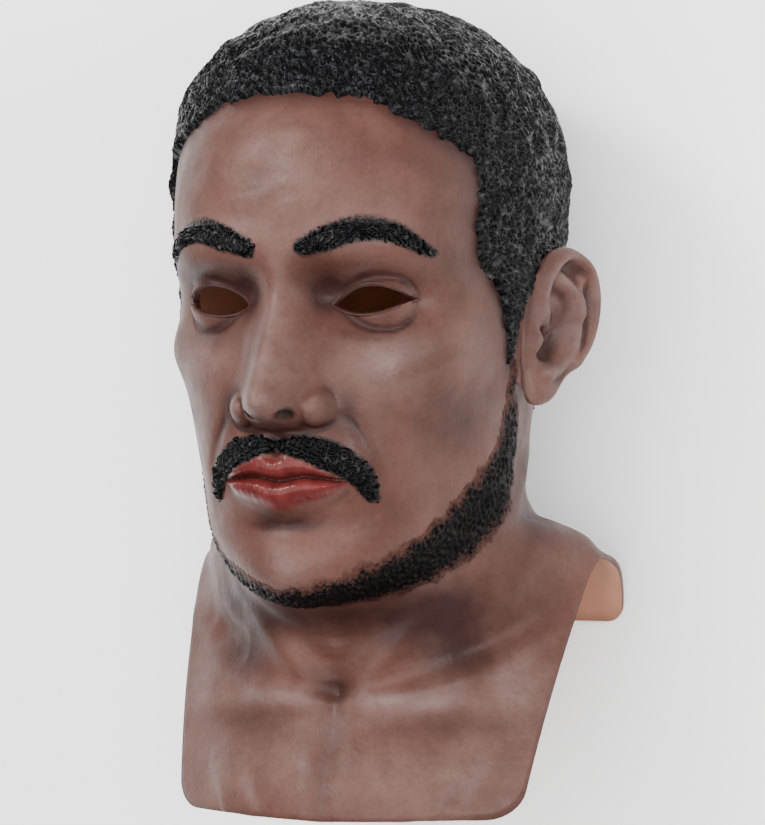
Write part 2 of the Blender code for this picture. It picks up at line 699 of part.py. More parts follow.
def evaluated_size(made):
    """The corners of an object's box and its count of triangles with its modifiers on."""
    bpy.context.view_layer.update()
    seen = made.evaluated_get(bpy.context.evaluated_depsgraph_get())
    mesh = seen.to_mesh()
    mesh.calc_loop_triangles()
    triangles = len(mesh.loop_triangles)
    places = np.array([seen.matrix_world @ vertex.co for vertex in mesh.vertices])
    seen.to_mesh_clear()
    return places.min(axis=0), places.max(axis=0), triangles


def build():
    for old in list(bpy.data.objects):
        bpy.data.objects.remove(old)
    outer, inner = skin_grids(COLUMN_COUNT, ROW_COUNT)
    mask = shell_object(outer, inner)
    tree = BVHTree.FromPolygons(
        [Vector(point) for point in outer.reshape(-1, 3)], grid_faces(ROW_COUNT, COLUMN_COUNT, 0)
    )
    tools = []
    for side, name in ((1, "left"), (-1, "right")):
        ear = ear_object(name + " ear", tree, side)
        use_tool(mask, ear, "UNION")
        cutter = eye_cutter(name + " eye opening", side)
        use_tool(mask, cutter, "DIFFERENCE")
        tools += [ear, cutter]
    triangles = evaluated_size(mask)[2]
    thin = mask.modifiers.new("fewer triangles", "DECIMATE")
    thin.ratio = min(1.0, TRIANGLE_COUNT / triangles)
    mask.data.materials.append(latex())
    low, high, _triangles = evaluated_size(mask)
    origin = bpy.data.objects.new("origin", None)
    bpy.context.scene.collection.objects.link(origin)
    for made in [mask] + tools:
        made.parent = origin
    origin.location = (-(low[0] + high[0]) / 2, -(low[1] + high[1]) / 2, -low[2])
    bpy.context.view_layer.update()
    return mask


build()
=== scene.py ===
import math

import bmesh
import bpy
import numpy as np
from mathutils import Matrix, Vector
from mathutils.bvhtree import BVHTree
from mathutils.kdtree import KDTree


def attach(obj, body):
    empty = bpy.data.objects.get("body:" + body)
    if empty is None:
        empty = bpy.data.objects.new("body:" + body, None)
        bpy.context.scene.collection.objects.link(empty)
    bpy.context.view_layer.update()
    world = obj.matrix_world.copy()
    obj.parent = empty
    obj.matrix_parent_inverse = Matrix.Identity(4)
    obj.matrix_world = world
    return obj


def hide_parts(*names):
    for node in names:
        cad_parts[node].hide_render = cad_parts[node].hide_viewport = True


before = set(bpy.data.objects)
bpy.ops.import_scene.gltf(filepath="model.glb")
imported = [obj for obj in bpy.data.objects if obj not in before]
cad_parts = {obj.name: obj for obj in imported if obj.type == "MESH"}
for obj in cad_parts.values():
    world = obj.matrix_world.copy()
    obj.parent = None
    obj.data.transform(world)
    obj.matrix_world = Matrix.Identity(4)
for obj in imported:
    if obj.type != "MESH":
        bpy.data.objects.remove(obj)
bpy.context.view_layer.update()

# Driving dimensions, in metres
HEAD_HEIGHT = 0.252  # from under the chin to the crown of the moulded hair
WALL = 0.0025  # the latex skin
BIB_DROP = 0.091  # from under the chin down to the front hem
BIB_HALF_WIDTH = 0.076  # at the front hem
BIB_CORNER = 0.011  # radius of the front hem's corners
SHOULDER_HALF_WIDTH = 0.091  # at the top of the arm cut
FLAP_DROP = 0.031  # from the top of the arm cut down to the back hem
FLAP_CORNER = 0.006  # radius of the back hem's corners
EYE_OPENING_WIDTH = 0.031
EYE_OPENING_HEIGHT = 0.0125
HAIR_THICKNESS = 0.0085  # on the crown
REST_DEPTH = 0.0030  # how far the back of the head is flattened where the mask lies on it

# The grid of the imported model, by which the form is laid down
PLAN_COLUMNS = 132
PLAN_ROWS = 128

# Heights above the eye line and the eyes' place, in parts, the form's own unit of about a millimetre
CROWN = 124.0
CHIN = -116.0
MOUTH = -68.0
EYE_X = 31.5
EYE_RADIUS = 14.5
EYE_FRONT_Z = 81.0  # how far forward the middle of the lids lies
EYE_CENTRE_Z = EYE_FRONT_Z - EYE_RADIUS
PART = HEAD_HEIGHT / (CROWN - CHIN)  # one part in metres

# Stations from the crown down to below the hems, in parts: front (z, y), side (x, y, z), back (z, y),
# then how square the section is in front and behind, where 2 is an ellipse
STATIONS = np.array(
    [
        (-10, 116, 0, 116, -10, -10, 116, 2.0, 2.0),  # crown
        (28, 112.5, 33, 110, -11, -48, 109, 2.1, 2.1),
        (64, 97, 56, 92, -13, -79, 88, 2.15, 2.1),
        (85, 73, 69, 68, -14, -95, 60, 2.2, 2.1),  # hairline
        (94, 46, 73, 42, -14, -98, 34, 2.25, 2.1),  # forehead
        (96, 22, 72.5, 20, -13, -97, 10, 2.25, 2.1),  # brow
        (91, 0, 70.5, 0, -11, -92, -10, 2.2, 2.1),  # eye line
        (89, -24, 69, -22, -8, -84, -28, 2.1, 2.1),  # cheek
        (90.5, -47, 66, -42, -5, -78, -43, 2.05, 2.1),  # nose base
        (91, -67, 64, -57, -4, -75, -56, 2.0, 2.2),  # lips
        (87, -86, 62, -68, -5, -74, -66, 1.92, 2.3),
        (86, -103, 61, -76, -9, -74, -74, 1.85, 2.4),  # chin
        (76, -115, 61.5, -81, -13, -76, -80, 1.85, 2.5),
        (52, -121, 63.5, -85.5, -18, -78, -85, 1.95, 2.5),
        (36, -132, 69.5, -88.5, -25, -81, -90.5, 2.0, 2.5),  # throat
        (31, -150, 78, -93.5, -37, -86, -98, 1.95, 2.5),
        (36, -166, 86, -101.5, -50, -92, -108, 1.85, 2.5),  # collarbones
        (45, -184, 104, -108, -58, -97, -118, 1.75, 2.6),  # chest
        (51, -204, 126, -118, -62, -102.5, -131, 1.7, 2.8),
        (55, -226, 150, -130, -64, -106, -148, 1.65, 3.0),
        (58, -254, 176, -144, -66, -109, -170, 1.65, 3.0),  # past the hems
    ]
)
LAST_STATION = len(STATIONS) - 1
NECK_STATION = 13.0  # below this the rows spread out to reach the hems
BIB_CURL = 22.0  # how far the bib's sides curl back round the chest, in parts


def smoothstep(low, high, value):
    share = np.clip((value - low) / (high - low), 0.0, 1.0)
    return share * share * (3 - 2 * share)


def bump(distance, width):
    return np.exp(-((distance / width) ** 2))


def smooth_max(a, b, softness):
    return 0.5 * (a + b + np.sqrt((a - b) ** 2 + softness**2))


def joined_heights(a, b, softness):
    """The higher of two reliefs, softened only where both stand up."""
    soft = softness * np.clip((a + b) / (2 * softness), 0.0, 1.0)
    return smooth_max(a, b, soft) - 0.5 * soft * np.exp(-np.abs(a - b) / softness)


def spline(knots, values, at):
    """A smooth curve through values at rising knots."""
    knots = np.asarray(knots, float)
    values = np.asarray(values, float)
    slopes = np.gradient(values, knots, axis=0)
    at = np.clip(at, knots[0], knots[-1])
    index = np.clip(np.searchsorted(knots, at, side="right") - 1, 0, len(knots) - 2)
    span = knots[index + 1] - knots[index]
    u = (at - knots[index]) / span
    if values.ndim > 1:
        u, span = u[..., None], span[..., None]
    return (
        (2 * u**3 - 3 * u**2 + 1) * values[index]
        + (u**3 - 2 * u**2 + u) * span * slopes[index]
        + (3 * u**2 - 2 * u**3) * values[index + 1]
        + (u**3 - u**2) * span * slopes[index + 1]
    )


def base_form(angle, station):
    """Points on the plain head, neck and bib, in parts, by the angle round from the face."""
    row = spline(np.arange(LAST_STATION + 1), STATIONS, station)
    front_z, front_y, side_x, side_y, side_z, back_z, back_y, front_n, back_n = np.moveaxis(row, -1, 0)
    c, s = np.cos(angle), np.sin(angle)
    in_front = c > 0
    end_z = np.where(in_front, front_z, back_z)
    end_y = np.where(in_front, front_y, back_y)
    power = 2 / np.where(in_front, front_n, back_n)
    x = side_x * np.sign(s) * np.abs(s) ** power
    z = side_z + (end_z - side_z) * np.abs(c) ** power
    y = side_y + (end_y - side_y) * c * c
    curl = BIB_CURL * smoothstep(14.5, 17.0, station) * np.maximum(c, 0)
    return x, y, z - curl * (x / 80) ** 2


# Where the latex is cut off below
ARM_TOP = -101.0
FRONT_HEM = CHIN - BIB_DROP / PART
BACK_HEM = ARM_TOP - FLAP_DROP / PART
FLAP_TAPER = 6.0


def past_edge(x, y, in_front):
    """How far a point lies outside the cut edge of the bib or the back flap, in parts."""
    low = np.where(in_front, FRONT_HEM, BACK_HEM)
    half_top = SHOULDER_HALF_WIDTH / PART
    half_low = np.where(in_front, BIB_HALF_WIDTH / PART, half_top - FLAP_TAPER)
    radius = np.where(in_front, BIB_CORNER, FLAP_CORNER) / PART
    share = np.clip((ARM_TOP - y) / (ARM_TOP - low), 0.0, 1.2)
    beside = np.abs(x) - (half_top + (half_low - half_top) * share) + radius
    below = low - y + radius
    outside = np.hypot(np.maximum(beside, 0), np.maximum(below, 0))
    return outside + np.minimum(np.maximum(beside, below), 0) - radius


def edge_station(angle):
    """The station at which each column of the loft reaches the cut edge."""
    low = np.full_like(angle, NECK_STATION)
    high = np.full_like(angle, float(LAST_STATION))
    for _halving in range(40):
        middle = 0.5 * (low + high)
        x, y, _z = base_form(angle, middle)
        outside = past_edge(x, y, np.cos(angle) > 0) > 0
        high = np.where(outside, middle, high)
        low = np.where(outside, low, middle)
    return low


# How closely the columns lie, by degrees round from the face: they crowd on the face and the hem's corners
COLUMN_DEGREES = (0, 30, 33, 42, 46, 60, 90, 148, 154, 160, 180)
COLUMN_DENSITY = (3.6, 3.0, 4.2, 4.2, 2.6, 2.4, 1.7, 1.5, 2.6, 1.3, 1.0)


def column_angles(count):
    """Angles round the head, from the back past the right side, the face and the left side."""
    fine = np.linspace(-180, 180, 7201)
    density = np.interp(np.abs(fine), COLUMN_DEGREES, COLUMN_DENSITY)
    total = np.concatenate([[0], np.cumsum(0.5 * (density[1:] + density[:-1]))])
    return np.radians(np.interp((np.arange(count) + 0.5) / count * total[-1], total, fine))


# How closely the rows lie, by station: they crowd at the eyes, under the nose and at the mouth
ROW_STATIONS = (0, 4, 5, 6, 7, 7.7, 8.1, 8.6, 9.0, 9.6, 12, 13, 15, 19)
ROW_DENSITY = (1.2, 1.6, 3.4, 4.6, 3.4, 6.5, 7.5, 4.6, 6.5, 4.2, 3.0, 2.4, 1.8, 1.6)
FIRST_STATION = 0.12  # the first ring round the crown's pole


def row_stations(count, last):
    """Stations of the rows, from the crown's first ring to the station named last."""
    fine = np.linspace(FIRST_STATION, last, 4000)
    total = np.cumsum(np.interp(fine, ROW_STATIONS, ROW_DENSITY))
    return np.interp(np.linspace(total[0], total[-1], count), total, fine)


def loft_grid(columns, rows):
    """Angles and stations of a grid over the whole skin, each of shape (rows, columns)."""
    angles = column_angles(columns)
    ends = edge_station(angles)
    last = 18.0
    stations = row_stations(rows, last)[:, None]
    below_neck = np.maximum(stations - NECK_STATION, 0) / (last - NECK_STATION)
    grid = np.minimum(stations, NECK_STATION) + below_neck * (ends[None, :] - NECK_STATION)
    return np.broadcast_to(angles[None, :], grid.shape), grid


def grid_normals(points, closed=True):
    """Outward unit normals of a grid of points, shape (rows, columns, 3), closed round or not."""
    if closed:
        around = np.roll(points, -1, axis=1) - np.roll(points, 1, axis=1)
    else:
        around = np.gradient(points, axis=1)
    down = np.gradient(points, axis=0)
    normals = np.cross(around, down)
    normals /= np.maximum(np.linalg.norm(normals, axis=-1, keepdims=True), 1e-9)
    outward = np.sign((normals * (points - [0.0, -20.0, 0.0])).sum())
    return normals * outward


# Broad soft forms: centre (x, y, z), reach (x, y, z) and height, mirrored, in parts
SOFT_FORMS = (
    ((21, 20.5, 92), (17, 7, 30), 2.6),  # brow ridge, inner
    ((40, 21, 80), (15, 7, 30), 2.4),  # brow ridge, outer
    ((0, 16, 96), (9, 9, 30), 1.6),  # between the brows
    ((27, 50, 90), (20, 18, 40), 1.6),  # forehead's boss
    ((70, 26, 40), (20, 22, 26), -2.6),  # temple
    ((54, -18, 56), (15, 12, 24), 4.6),  # cheekbone
    ((36, -26, 80), (14, 13, 30), 2.2),  # front of the cheek
    ((50, -58, 50), (13, 17, 26), -2.4),  # hollow under the cheekbone
    ((0, -103, 86), (17, 10, 30), 3.6),  # chin's boss
    ((0, -86.5, 86), (17, 4.5, 30), -1.8),  # crease over the chin
    ((54, -74, 10), (16, 12, 18), 2.6),  # corner of the jaw
    ((0, -58, 90), (24, 12, 30), 2.4),  # fullness behind the mouth
)

# Cords and bones under the skin of the neck and bib: a path, its width and its height, mirrored
NECK_FORMS = (
    (((63, -62, -22), (46, -98, 6), (24, -132, 26), (8, -154, 30)), 7.5, 4.2),  # neck muscle
    (((7, -158, 32), (26, -156, 27), (52, -146, 6), (78, -128, -22)), 5.0, 3.6),  # collarbone
    (((40, -140, 14), (62, -130, -8)), 8.0, -4.4),  # hollow above the collarbone
    (((0, -150, 31), (0, -157, 32)), 7.0, -3.2),  # notch between the collarbones
    (((0, -132, 36), (0, -140, 35)), 7.0, 2.6),  # throat
    (((0, -170, 38), (0, -205, 52)), 6.0, -1.4),  # breastbone's furrow
    (((34, -188, 40), (48, -200, 34)), 22.0, 3.0),  # chest muscle
    (((60, -92, -34), (86, -100, -52)), 10.0, 1.6),  # shoulder muscle
)


def path_distance(points, path):
    """Distance from each point to a path of straight stretches, and the share of the path passed there."""
    nearest = np.full(points.shape[:-1], np.inf)
    share = np.zeros(points.shape[:-1])
    path = np.asarray(path, float)
    for index in range(len(path) - 1):
        step = path[index + 1] - path[index]
        along = np.clip(((points - path[index]) @ step) / (step @ step), 0, 1)
        away = np.linalg.norm(points - path[index] - along[..., None] * step, axis=-1)
        closer = away < nearest
        nearest = np.where(closer, away, nearest)
        share = np.where(closer, (index + along) / (len(path) - 1), share)
    return nearest, share


def smooth_path(path, steps=6):
    """The path's points with others between them on a smooth curve."""
    at = np.linspace(0, len(path) - 1, (len(path) - 1) * steps + 1)
    return spline(np.arange(len(path)), path, at)


def folded_over(points):
    """Points of the right side folded onto the left, where the carving is written."""
    return np.concatenate([np.abs(points[..., :1]), points[..., 1:]], axis=-1)


def soft_relief(points):
    """Height of the broad forms of the face and neck along the skin's normal."""
    folded = folded_over(points)
    height = np.zeros(points.shape[:-1])
    for centre, reach, amount in SOFT_FORMS:
        height += amount * np.exp(-(((folded - centre) / reach) ** 2).sum(-1))
    for path, width, amount in NECK_FORMS:
        distance, share = path_distance(folded, smooth_path(path))
        fade = smoothstep(-0.15, 0.25, share) * smoothstep(1.15, 0.75, share)
        height += amount * bump(distance, width) * fade
    return height


# The nose in profile: heights above the eye line and how far it stands off the face there
NOSE_Y = (-53.0, -50.0, -47.5, -45.0, -42.0, -38.0, -31.0, -20.0, -8.0, 3.0, 12.0, 20.0)
NOSE_OUT = (0.0, 1.8, 9.0, 19.0, 25.0, 27.0, 24.0, 17.5, 10.5, 5.0, 2.0, 0.0)
NOSE_HALF = (9.0, 9.5, 10.5, 11.5, 12.6, 13.0, 12.6, 11.6, 10.4, 9.6, 10.0, 11.0)
WING_X, WING_Y, WING_RADII, WING_OUT = 14.4, -40.8, (7.0, 8.0), 12.0
NOSTRIL = (7.6, -46.0, 106.0)
NOSTRIL_RADII = (3.9, 3.6, 5.2)
NOSTRIL_DEPTH = 4.2


def nose_height(x, y):
    out = spline(NOSE_Y, NOSE_OUT, y)
    half = spline(NOSE_Y, NOSE_HALF, y)
    ridge = out * np.exp(-np.abs(x / half) ** 2.2)
    reach = ((np.abs(x) - WING_X) / WING_RADII[0]) ** 2 + ((y - WING_Y) / WING_RADII[1]) ** 2
    wing = WING_OUT * np.clip(1 - reach, 0, 1) ** 0.75
    return joined_heights(ridge, wing, 4.0)


# The mouth, calm and closed
MOUTH_HALF = 26.0
UPPER_LIP, LOWER_LIP = 9.6, 11.5
UPPER_OUT, LOWER_OUT = 5.2, 6.4


def mouth_lines(x):
    """Heights of the upper lip's border, the line between the lips and the lower lip's border."""
    side = np.clip(np.abs(x) / MOUTH_HALF, 0, 1)
    taper = (1 - side**2) ** 0.75
    line = MOUTH - 0.9 * bump(np.abs(x), 5.0) + 0.8 * bump(np.abs(x) - 11, 6.0) - 1.2 * side**4
    upper = line + UPPER_LIP * taper * (1 - 0.13 * bump(x, 3.6) - 0.22 * side)
    lower = line - LOWER_LIP * taper
    return upper, line, lower


def lip_height(x, y):
    upper, line, lower = mouth_lines(x)
    side = smoothstep(MOUTH_HALF + 2.0, MOUTH_HALF - 9.0, np.abs(x))
    above = (y - line) / np.maximum(upper - line, 2.6)
    under = (line - y) / np.maximum(line - lower, 2.6)
    top_knots = (-1.0, 0.0, 0.12, 0.4, 0.75, 1.0, 1.25, 1.8, 2.6)
    top_heights = (-0.3, -0.25, 0.45, 0.98, 0.95, 0.72, 0.36, 0.12, 0.0)
    low_knots = (-1.0, 0.0, 0.12, 0.4, 0.7, 1.0, 1.3, 1.8, 2.4)
    low_heights = (-0.3, -0.25, 0.45, 1.0, 0.92, 0.5, 0.16, 0.02, 0.0)
    top = UPPER_OUT * spline(top_knots, top_heights, above)
    low = LOWER_OUT * spline(low_knots, low_heights, under)
    return side * np.where(y > line, top, low)


def eye_socket(x, y):
    """Depth of the socket and height of the folds round it, before the eyeball's lids."""
    dx = np.abs(x) - EYE_X
    socket = -10.5 * np.exp(-((dx + 1) / 21) ** 2 - ((y - 0.5) / 13.5) ** 2)
    inner = -3.2 * np.exp(-((dx + 15) / 7) ** 2 - ((y - 3) / 9) ** 2)
    fold = 3.4 * np.exp(-((dx - 4) / 19) ** 2 - ((y - 13.5 + 0.006 * dx**2) / 4.6) ** 2)
    bag = 1.0 * np.exp(-((dx + 1) / 15) ** 2 - ((y + 15 - 0.012 * dx**2) / 3.2) ** 2)
    return socket + inner + fold + bag


def lid_front(x, y):
    """How far forward the lids lie over the eyeball."""
    dx = np.abs(x) - EYE_X
    inside = np.clip(EYE_RADIUS**2 - dx**2 - (y / 0.96) ** 2, 0, None)
    return EYE_CENTRE_Z + np.sqrt(inside)


def nasolabial(x, y):
    """The shallow fold from the wing of the nose past the corner of the mouth."""
    points = np.stack([np.abs(x), y], -1)
    distance, share = path_distance(points, smooth_path(((23, -40), (30, -54), (35, -70), (35, -80))))
    fade = smoothstep(0.0, 0.2, share) * smoothstep(1.0, 0.55, share)
    return -1.3 * bump(distance, 2.6) * fade


def philtrum(x, y):
    rows = smoothstep(-63, -58, y) * smoothstep(-50, -53, y)
    return rows * (-1.5 * bump(x, 2.9) + 0.8 * bump(np.abs(x) - 5.0, 2.2))


# Outline of the hair on the skin, unrolled: degrees round from the face and height above the eye line
HAIR_OUTLINE = (
    (0, 79), (20, 77), (30, 73), (36, 69), (43, 65.5), (50, 60.5), (57, 56), (60.5, 49),
    (61, 39), (61, 28), (62.5, 16), (67, 9), (71.5, -1), (74, -13), (76, -25), (79, -12),
    (82.5, 1), (87, 10), (95, 15), (109, 14), (116, -12), (124, -38), (138, -55), (160, -64),
    (180, -67),
)
DEGREE_PARTS = 1.3  # arc length of one degree round the head
HAIR_HOLLOW = 0.68  # the share of the hair's thickness that the inside follows
HAIR_AT_EDGE = 2.6  # its thickness at the edge, in parts
HAIR_LOW = 4.2  # and low on the sides and the nape
BROW_PATH = ((11.5, 19.5), (21, 23), (32, 26.5), (43, 25), (52.5, 18))
BROW_HALVES = (3.2, 4.6, 4.6, 3.6, 1.6)  # half the band's width along the path
MOUSTACHE_PATH = ((0, -55.5), (10, -56), (20, -59.5), (28, -66), (31.5, -75))
MOUSTACHE_HALVES = (2.2, 4.6, 5.4, 4.6, 2.2)


def inside_outline(points, outline):
    """True where points lie inside a closed outline in the plane."""
    inside = np.zeros(points.shape[:-1], bool)
    px, py = points[..., 0], points[..., 1]
    for (ax, ay), (bx, by) in zip(outline, np.roll(outline, -1, axis=0)):
        if ay == by:
            continue
        crosses = (ay > py) != (by > py)
        inside ^= crosses & (px < (bx - ax) * (py - ay) / (by - ay) + ax)
    return inside


def hair_reach(angle, y):
    """How far inside the hair's edge each point lies, in parts, negative outside it."""
    points = np.stack([np.abs(np.degrees(angle)) * DEGREE_PARTS, y], -1)
    edge = smooth_path(np.array(HAIR_OUTLINE, float) * [DEGREE_PARTS, 1.0], 4)
    distance, _share = path_distance(points, edge)
    outline = np.concatenate([edge, [[260.0, 200.0], [-20.0, 200.0], [-20.0, edge[0, 1]]]])
    outline[len(edge) - 1, 0] = 260.0
    return np.where(inside_outline(points, outline), distance, -distance)


def hair_body(reach, y):
    """The hair's thickness by how far inside its edge it lies: thin at the edge and full on the crown."""
    full = HAIR_LOW + (HAIR_THICKNESS / PART - HAIR_LOW) * smoothstep(20, 90, y)
    return HAIR_AT_EDGE + (full - HAIR_AT_EDGE) * smoothstep(2, 26, reach)


def hair_height(angle, y, crisp):
    """Height of the hair, with a crisp edge outside and a soft one inside."""
    reach = hair_reach(angle, y)
    edge = smoothstep(-0.5, 1.6, reach) if crisp else smoothstep(1.0, 9.0, reach)
    return edge * hair_body(reach, y)


def above_neck(station):
    return smoothstep(14.0, 13.0, station)


def broad_form(angle, station, closed=True):
    """The form with its broad relief alone, and the way in which the hair stands off it."""
    points = np.stack(base_form(angle, station), -1)
    normals = grid_normals(points, closed)
    return points + normals * soft_relief(points)[..., None], normals


def with_lids(x, y, z, in_front):
    """The depth of the skin once the lids lie over the eyeballs."""
    near_eye = in_front * smoothstep(1.35, 1.05, np.hypot(np.abs(x) - EYE_X, y) / EYE_RADIUS)
    return z + near_eye * (joined_lids(x, y, z) - z)


def lining_form(angle, station):
    """The form that the inside follows a wall's thickness below, softer than the outside."""
    points, normals = broad_form(angle, station)
    on_head = above_neck(station)
    x, y, z = np.moveaxis(points, -1, 0)
    in_front = smoothstep(12, 44, z) * on_head
    z = with_lids(x, y, z + in_front * (eye_socket(x, y) + 0.7 * nose_height(x * 1.25, y - 5.5)), in_front)
    hair = HAIR_HOLLOW * hair_height(angle, y, False) * on_head
    return np.stack([x, y, z], -1) + normals * hair[..., None]


def joined_lids(x, y, z):
    lid = lid_front(x, y)
    return np.where(lid > EYE_CENTRE_Z, smooth_max(z, lid, 1.6), z)


def sink_nostrils(x, y, z):
    away = np.stack([np.abs(x), y, z], -1) - NOSTRIL
    depth = NOSTRIL_DEPTH * smoothstep(1.15, 0.35, np.linalg.norm(away / NOSTRIL_RADII, axis=-1))
    return x, y + 0.85 * depth, z - 0.45 * depth


def grid_faces(rows, columns, first):
    faces = []
    for row in range(rows - 1):
        for column in range(columns):
            after = (column + 1) % columns
            here = first + row * columns
            below = here + columns
            faces.append((here + column, below + column, below + after, here + after))
    return faces


def cap_faces(columns, first, pole):
    return [(pole, first + column, first + (column + 1) % columns) for column in range(columns)]


# The ear, drawn flat: back from its root and up, in parts
EAR_AT = (-9.0, -9.0)  # the middle's height above the eye line and its place along Z
EAR_TILT = math.radians(10)
EAR_SWING = math.radians(25)
EAR_SINK = 1.3  # how far the ear's root goes into the wall
EAR_POLE = (0.5, -2.0)
EAR_OUTLINE = (
    (2, 33), (11, 30), (17, 21.5), (19.5, 10), (18, -2), (13, -12.5), (7.5, -22), (2, -30),
    (-4.5, -32), (-9, -27), (-11.5, -18), (-13, -8), (-13.5, 2), (-13, 11), (-11.5, 21), (-6, 30),
)
EAR_RIM = (
    (-3, -1), (-8, 3), (-10.5, 10), (-9, 20), (-3.5, 27.5), (3, 29.5), (10.5, 26), (15, 17.5),
    (16.3, 7), (14.6, -4), (10, -13),
)
EAR_FOLD = ((-3, 19), (3, 16), (7.5, 9), (8.7, -1), (7, -9), (3, -15), (-1.5, -18))
EAR_FORK = ((8, 21), (8, 14), (8, 7))
EAR_RIDGES = ((EAR_RIM, 2.7, 4.2), (EAR_FOLD, 3.1, 3.4), (EAR_FORK, 2.4, 1.8))  # path, width, height


def ear_front(u, v):
    """How far the front of the ear stands off the side of the head."""
    height = 2.6 + (u + 13.5) * math.tan(EAR_SWING)
    before = smoothstep(-14.0, -9.0, u + 6 * smoothstep(16, 27, np.abs(v)))
    plane = np.stack([u, v], -1)
    for path, width, amount in EAR_RIDGES:
        distance, _share = path_distance(plane, smooth_path(path, 4))
        height = height + amount * bump(distance, width)
    height = height - 4.6 * np.exp(-((((u + 1.5) / 7.0) ** 2 + ((v + 5) / 10.0) ** 2) ** 1.5))
    height = height + 5.0 * np.exp(-(((u + 10.5) / 3.2) ** 2) - ((v + 7) / 4.8) ** 2)
    height = height + 1.8 * np.exp(-(((u + 2) / 6) ** 2) - ((v + 25) / 5) ** 2)
    return before * np.maximum(height, 2.2) - 0.3 * (1 - before)


def ear_sheet(columns, front_rings, back_rings):
    """Rings (u, v, w) from the middle of the ear's front over its rim and down its back to the root."""
    outline = np.array(EAR_OUTLINE + EAR_OUTLINE[:3], float)
    at = np.arange(columns) / columns * len(EAR_OUTLINE) + 1
    rim = spline(np.arange(len(outline)), outline, at)
    pole = np.array(EAR_POLE)
    shares = np.sin(np.linspace(0, math.pi / 2, front_rings + 1)[1:])[:, None, None]
    flat = pole + (rim - pole) * shares
    height = ear_front(flat[..., 0], flat[..., 1])
    from_rim = (1 - shares[..., 0]) * np.linalg.norm(rim - pole, axis=-1)
    rounding = np.clip(1 - from_rim / 2.4, 0, 1)
    height = height - 1.8 * (1 - np.sqrt(1 - rounding**2)) * smoothstep(0, 4, height)
    front = np.concatenate([flat, height[..., None]], -1)
    before = smoothstep(-6, -11, rim[:, 0])
    root = np.stack([-13.7 + (rim[:, 0] + 13.7) * 0.42, rim[:, 1] * (0.7 + 0.24 * before) - 1], -1)
    edge = front[-1, :, 2] - 0.3 - smoothstep(0, 4, front[-1, :, 2])
    inward = np.linspace(0, 1, back_rings + 1)[1:, None]
    back_flat = rim + (root - rim) * inward[..., None]
    drop = 0.42 * inward + 0.58 * inward**4
    back_height = edge - (edge + EAR_SINK) * drop
    back = np.concatenate([back_flat, back_height[..., None]], -1)
    return np.concatenate([front, back])


def place_ear(sheet, columns, tree):
    """The ear's rings on the left side of the head, in parts, with its root sunk into the skin."""
    u, v, w = np.moveaxis(sheet, -1, 0)
    back = u * math.cos(EAR_TILT) + v * math.sin(EAR_TILT)
    up = v * math.cos(EAR_TILT) - u * math.sin(EAR_TILT)
    y = EAR_AT[0] + up
    z = EAR_AT[1] - back
    root = [skin_beside(tree, y[-1, column], z[-1, column]) for column in range(columns)]
    slopes = np.stack([np.ones(columns), y[-1], z[-1]], -1)
    plane = np.linalg.lstsq(slopes, np.array(root), rcond=None)[0]
    x = plane[0] + plane[1] * y + plane[2] * z + w
    uneven = np.array(root) - EAR_SINK - x[-1]
    x = x + uneven * np.exp(-np.maximum(w + EAR_SINK, 0) / 8)
    return np.stack([x, y, z], -1)


def skin_beside(tree, y, z):
    """Where the left side of the skin lies at a height and depth, looking in from the side."""
    hit = tree.ray_cast(Vector((200.0, y, z)), Vector((-1.0, 0.0, 0.0)))[0]
    return hit.x


def almond(columns):
    """The eye opening's outline about the eye's middle, in parts."""
    half = EYE_OPENING_WIDTH / PART / 2
    upper = 0.58 * EYE_OPENING_HEIGHT / PART
    lower = 0.42 * EYE_OPENING_HEIGHT / PART
    turn = np.arange(columns) / columns * 2 * math.pi
    across = np.cos(turn)
    lift = np.where(np.sin(turn) > 0, upper, -lower) * (1 - across**2) ** 0.8
    return np.stack([half * across, lift - 0.8 + 1.2 * across], -1)


# Fine mesh sizes
SKIN_COLUMNS = 296
SKIN_ROWS = 262
HAIR_COLUMNS = 1024
HAIR_ROWS = 440
LINING_ROWS = 66
SINK = 0.8  # how deep the edge of a raised patch lies in the skin, in parts


def waves(points, wavelength, seed, count=90):
    """A smooth random field of unit spread over points, with one wavelength in every direction."""
    random = np.random.default_rng(seed)
    steps = random.normal(size=(count, 3))
    steps *= 2 * math.pi / wavelength / np.linalg.norm(steps, axis=1)[:, None]
    phases = random.uniform(0, 2 * math.pi, count)
    field = np.zeros(points.shape[:-1])
    for step, phase in zip(steps, phases):
        field += np.cos(points @ step + phase)
    return field * math.sqrt(2 / count)


def worms(points, wavelength, seed, width=0.62):
    """Rounded ridges that wind about like tight curls, from 0 between them to 1 on top."""
    return np.exp(-((waves(points, wavelength, seed) / width) ** 2))


WRINKLES = ((41, 40, 0.7), (50, 50, 1.0), (60, 44, 0.8))  # height, half length and depth, in parts


def fine_wrinkles(x, y):
    """Faint lines across the forehead."""
    lines = np.zeros(x.shape)
    for height, reach, depth in WRINKLES:
        bend = 1.4 * np.sin(x / 13 + height) + 2.2 * (x / 50) ** 2
        beside = y - height - bend
        line = depth * (bump(beside - 1.7, 1.5) * 0.5 - bump(beside, 1.0))
        lines += line * smoothstep(reach, reach - 24, np.abs(x))
    return lines


def skin_form(angle, station, closed=True):
    """The outside of the skin without its hair, and the way in which the hair stands off it."""
    points, normals = broad_form(angle, station, closed)
    x, y, z = np.moveaxis(points, -1, 0)
    in_front = smoothstep(12, 44, z) * above_neck(station)
    forward = eye_socket(x, y) + nose_height(x, y) + lip_height(x, y) + nasolabial(x, y)
    z = z + in_front * (forward + philtrum(x, y) + fine_wrinkles(x, y))
    x, y, z = sink_nostrils(x, y, with_lids(x, y, z, in_front))
    return np.stack([x, y, z], -1), normals


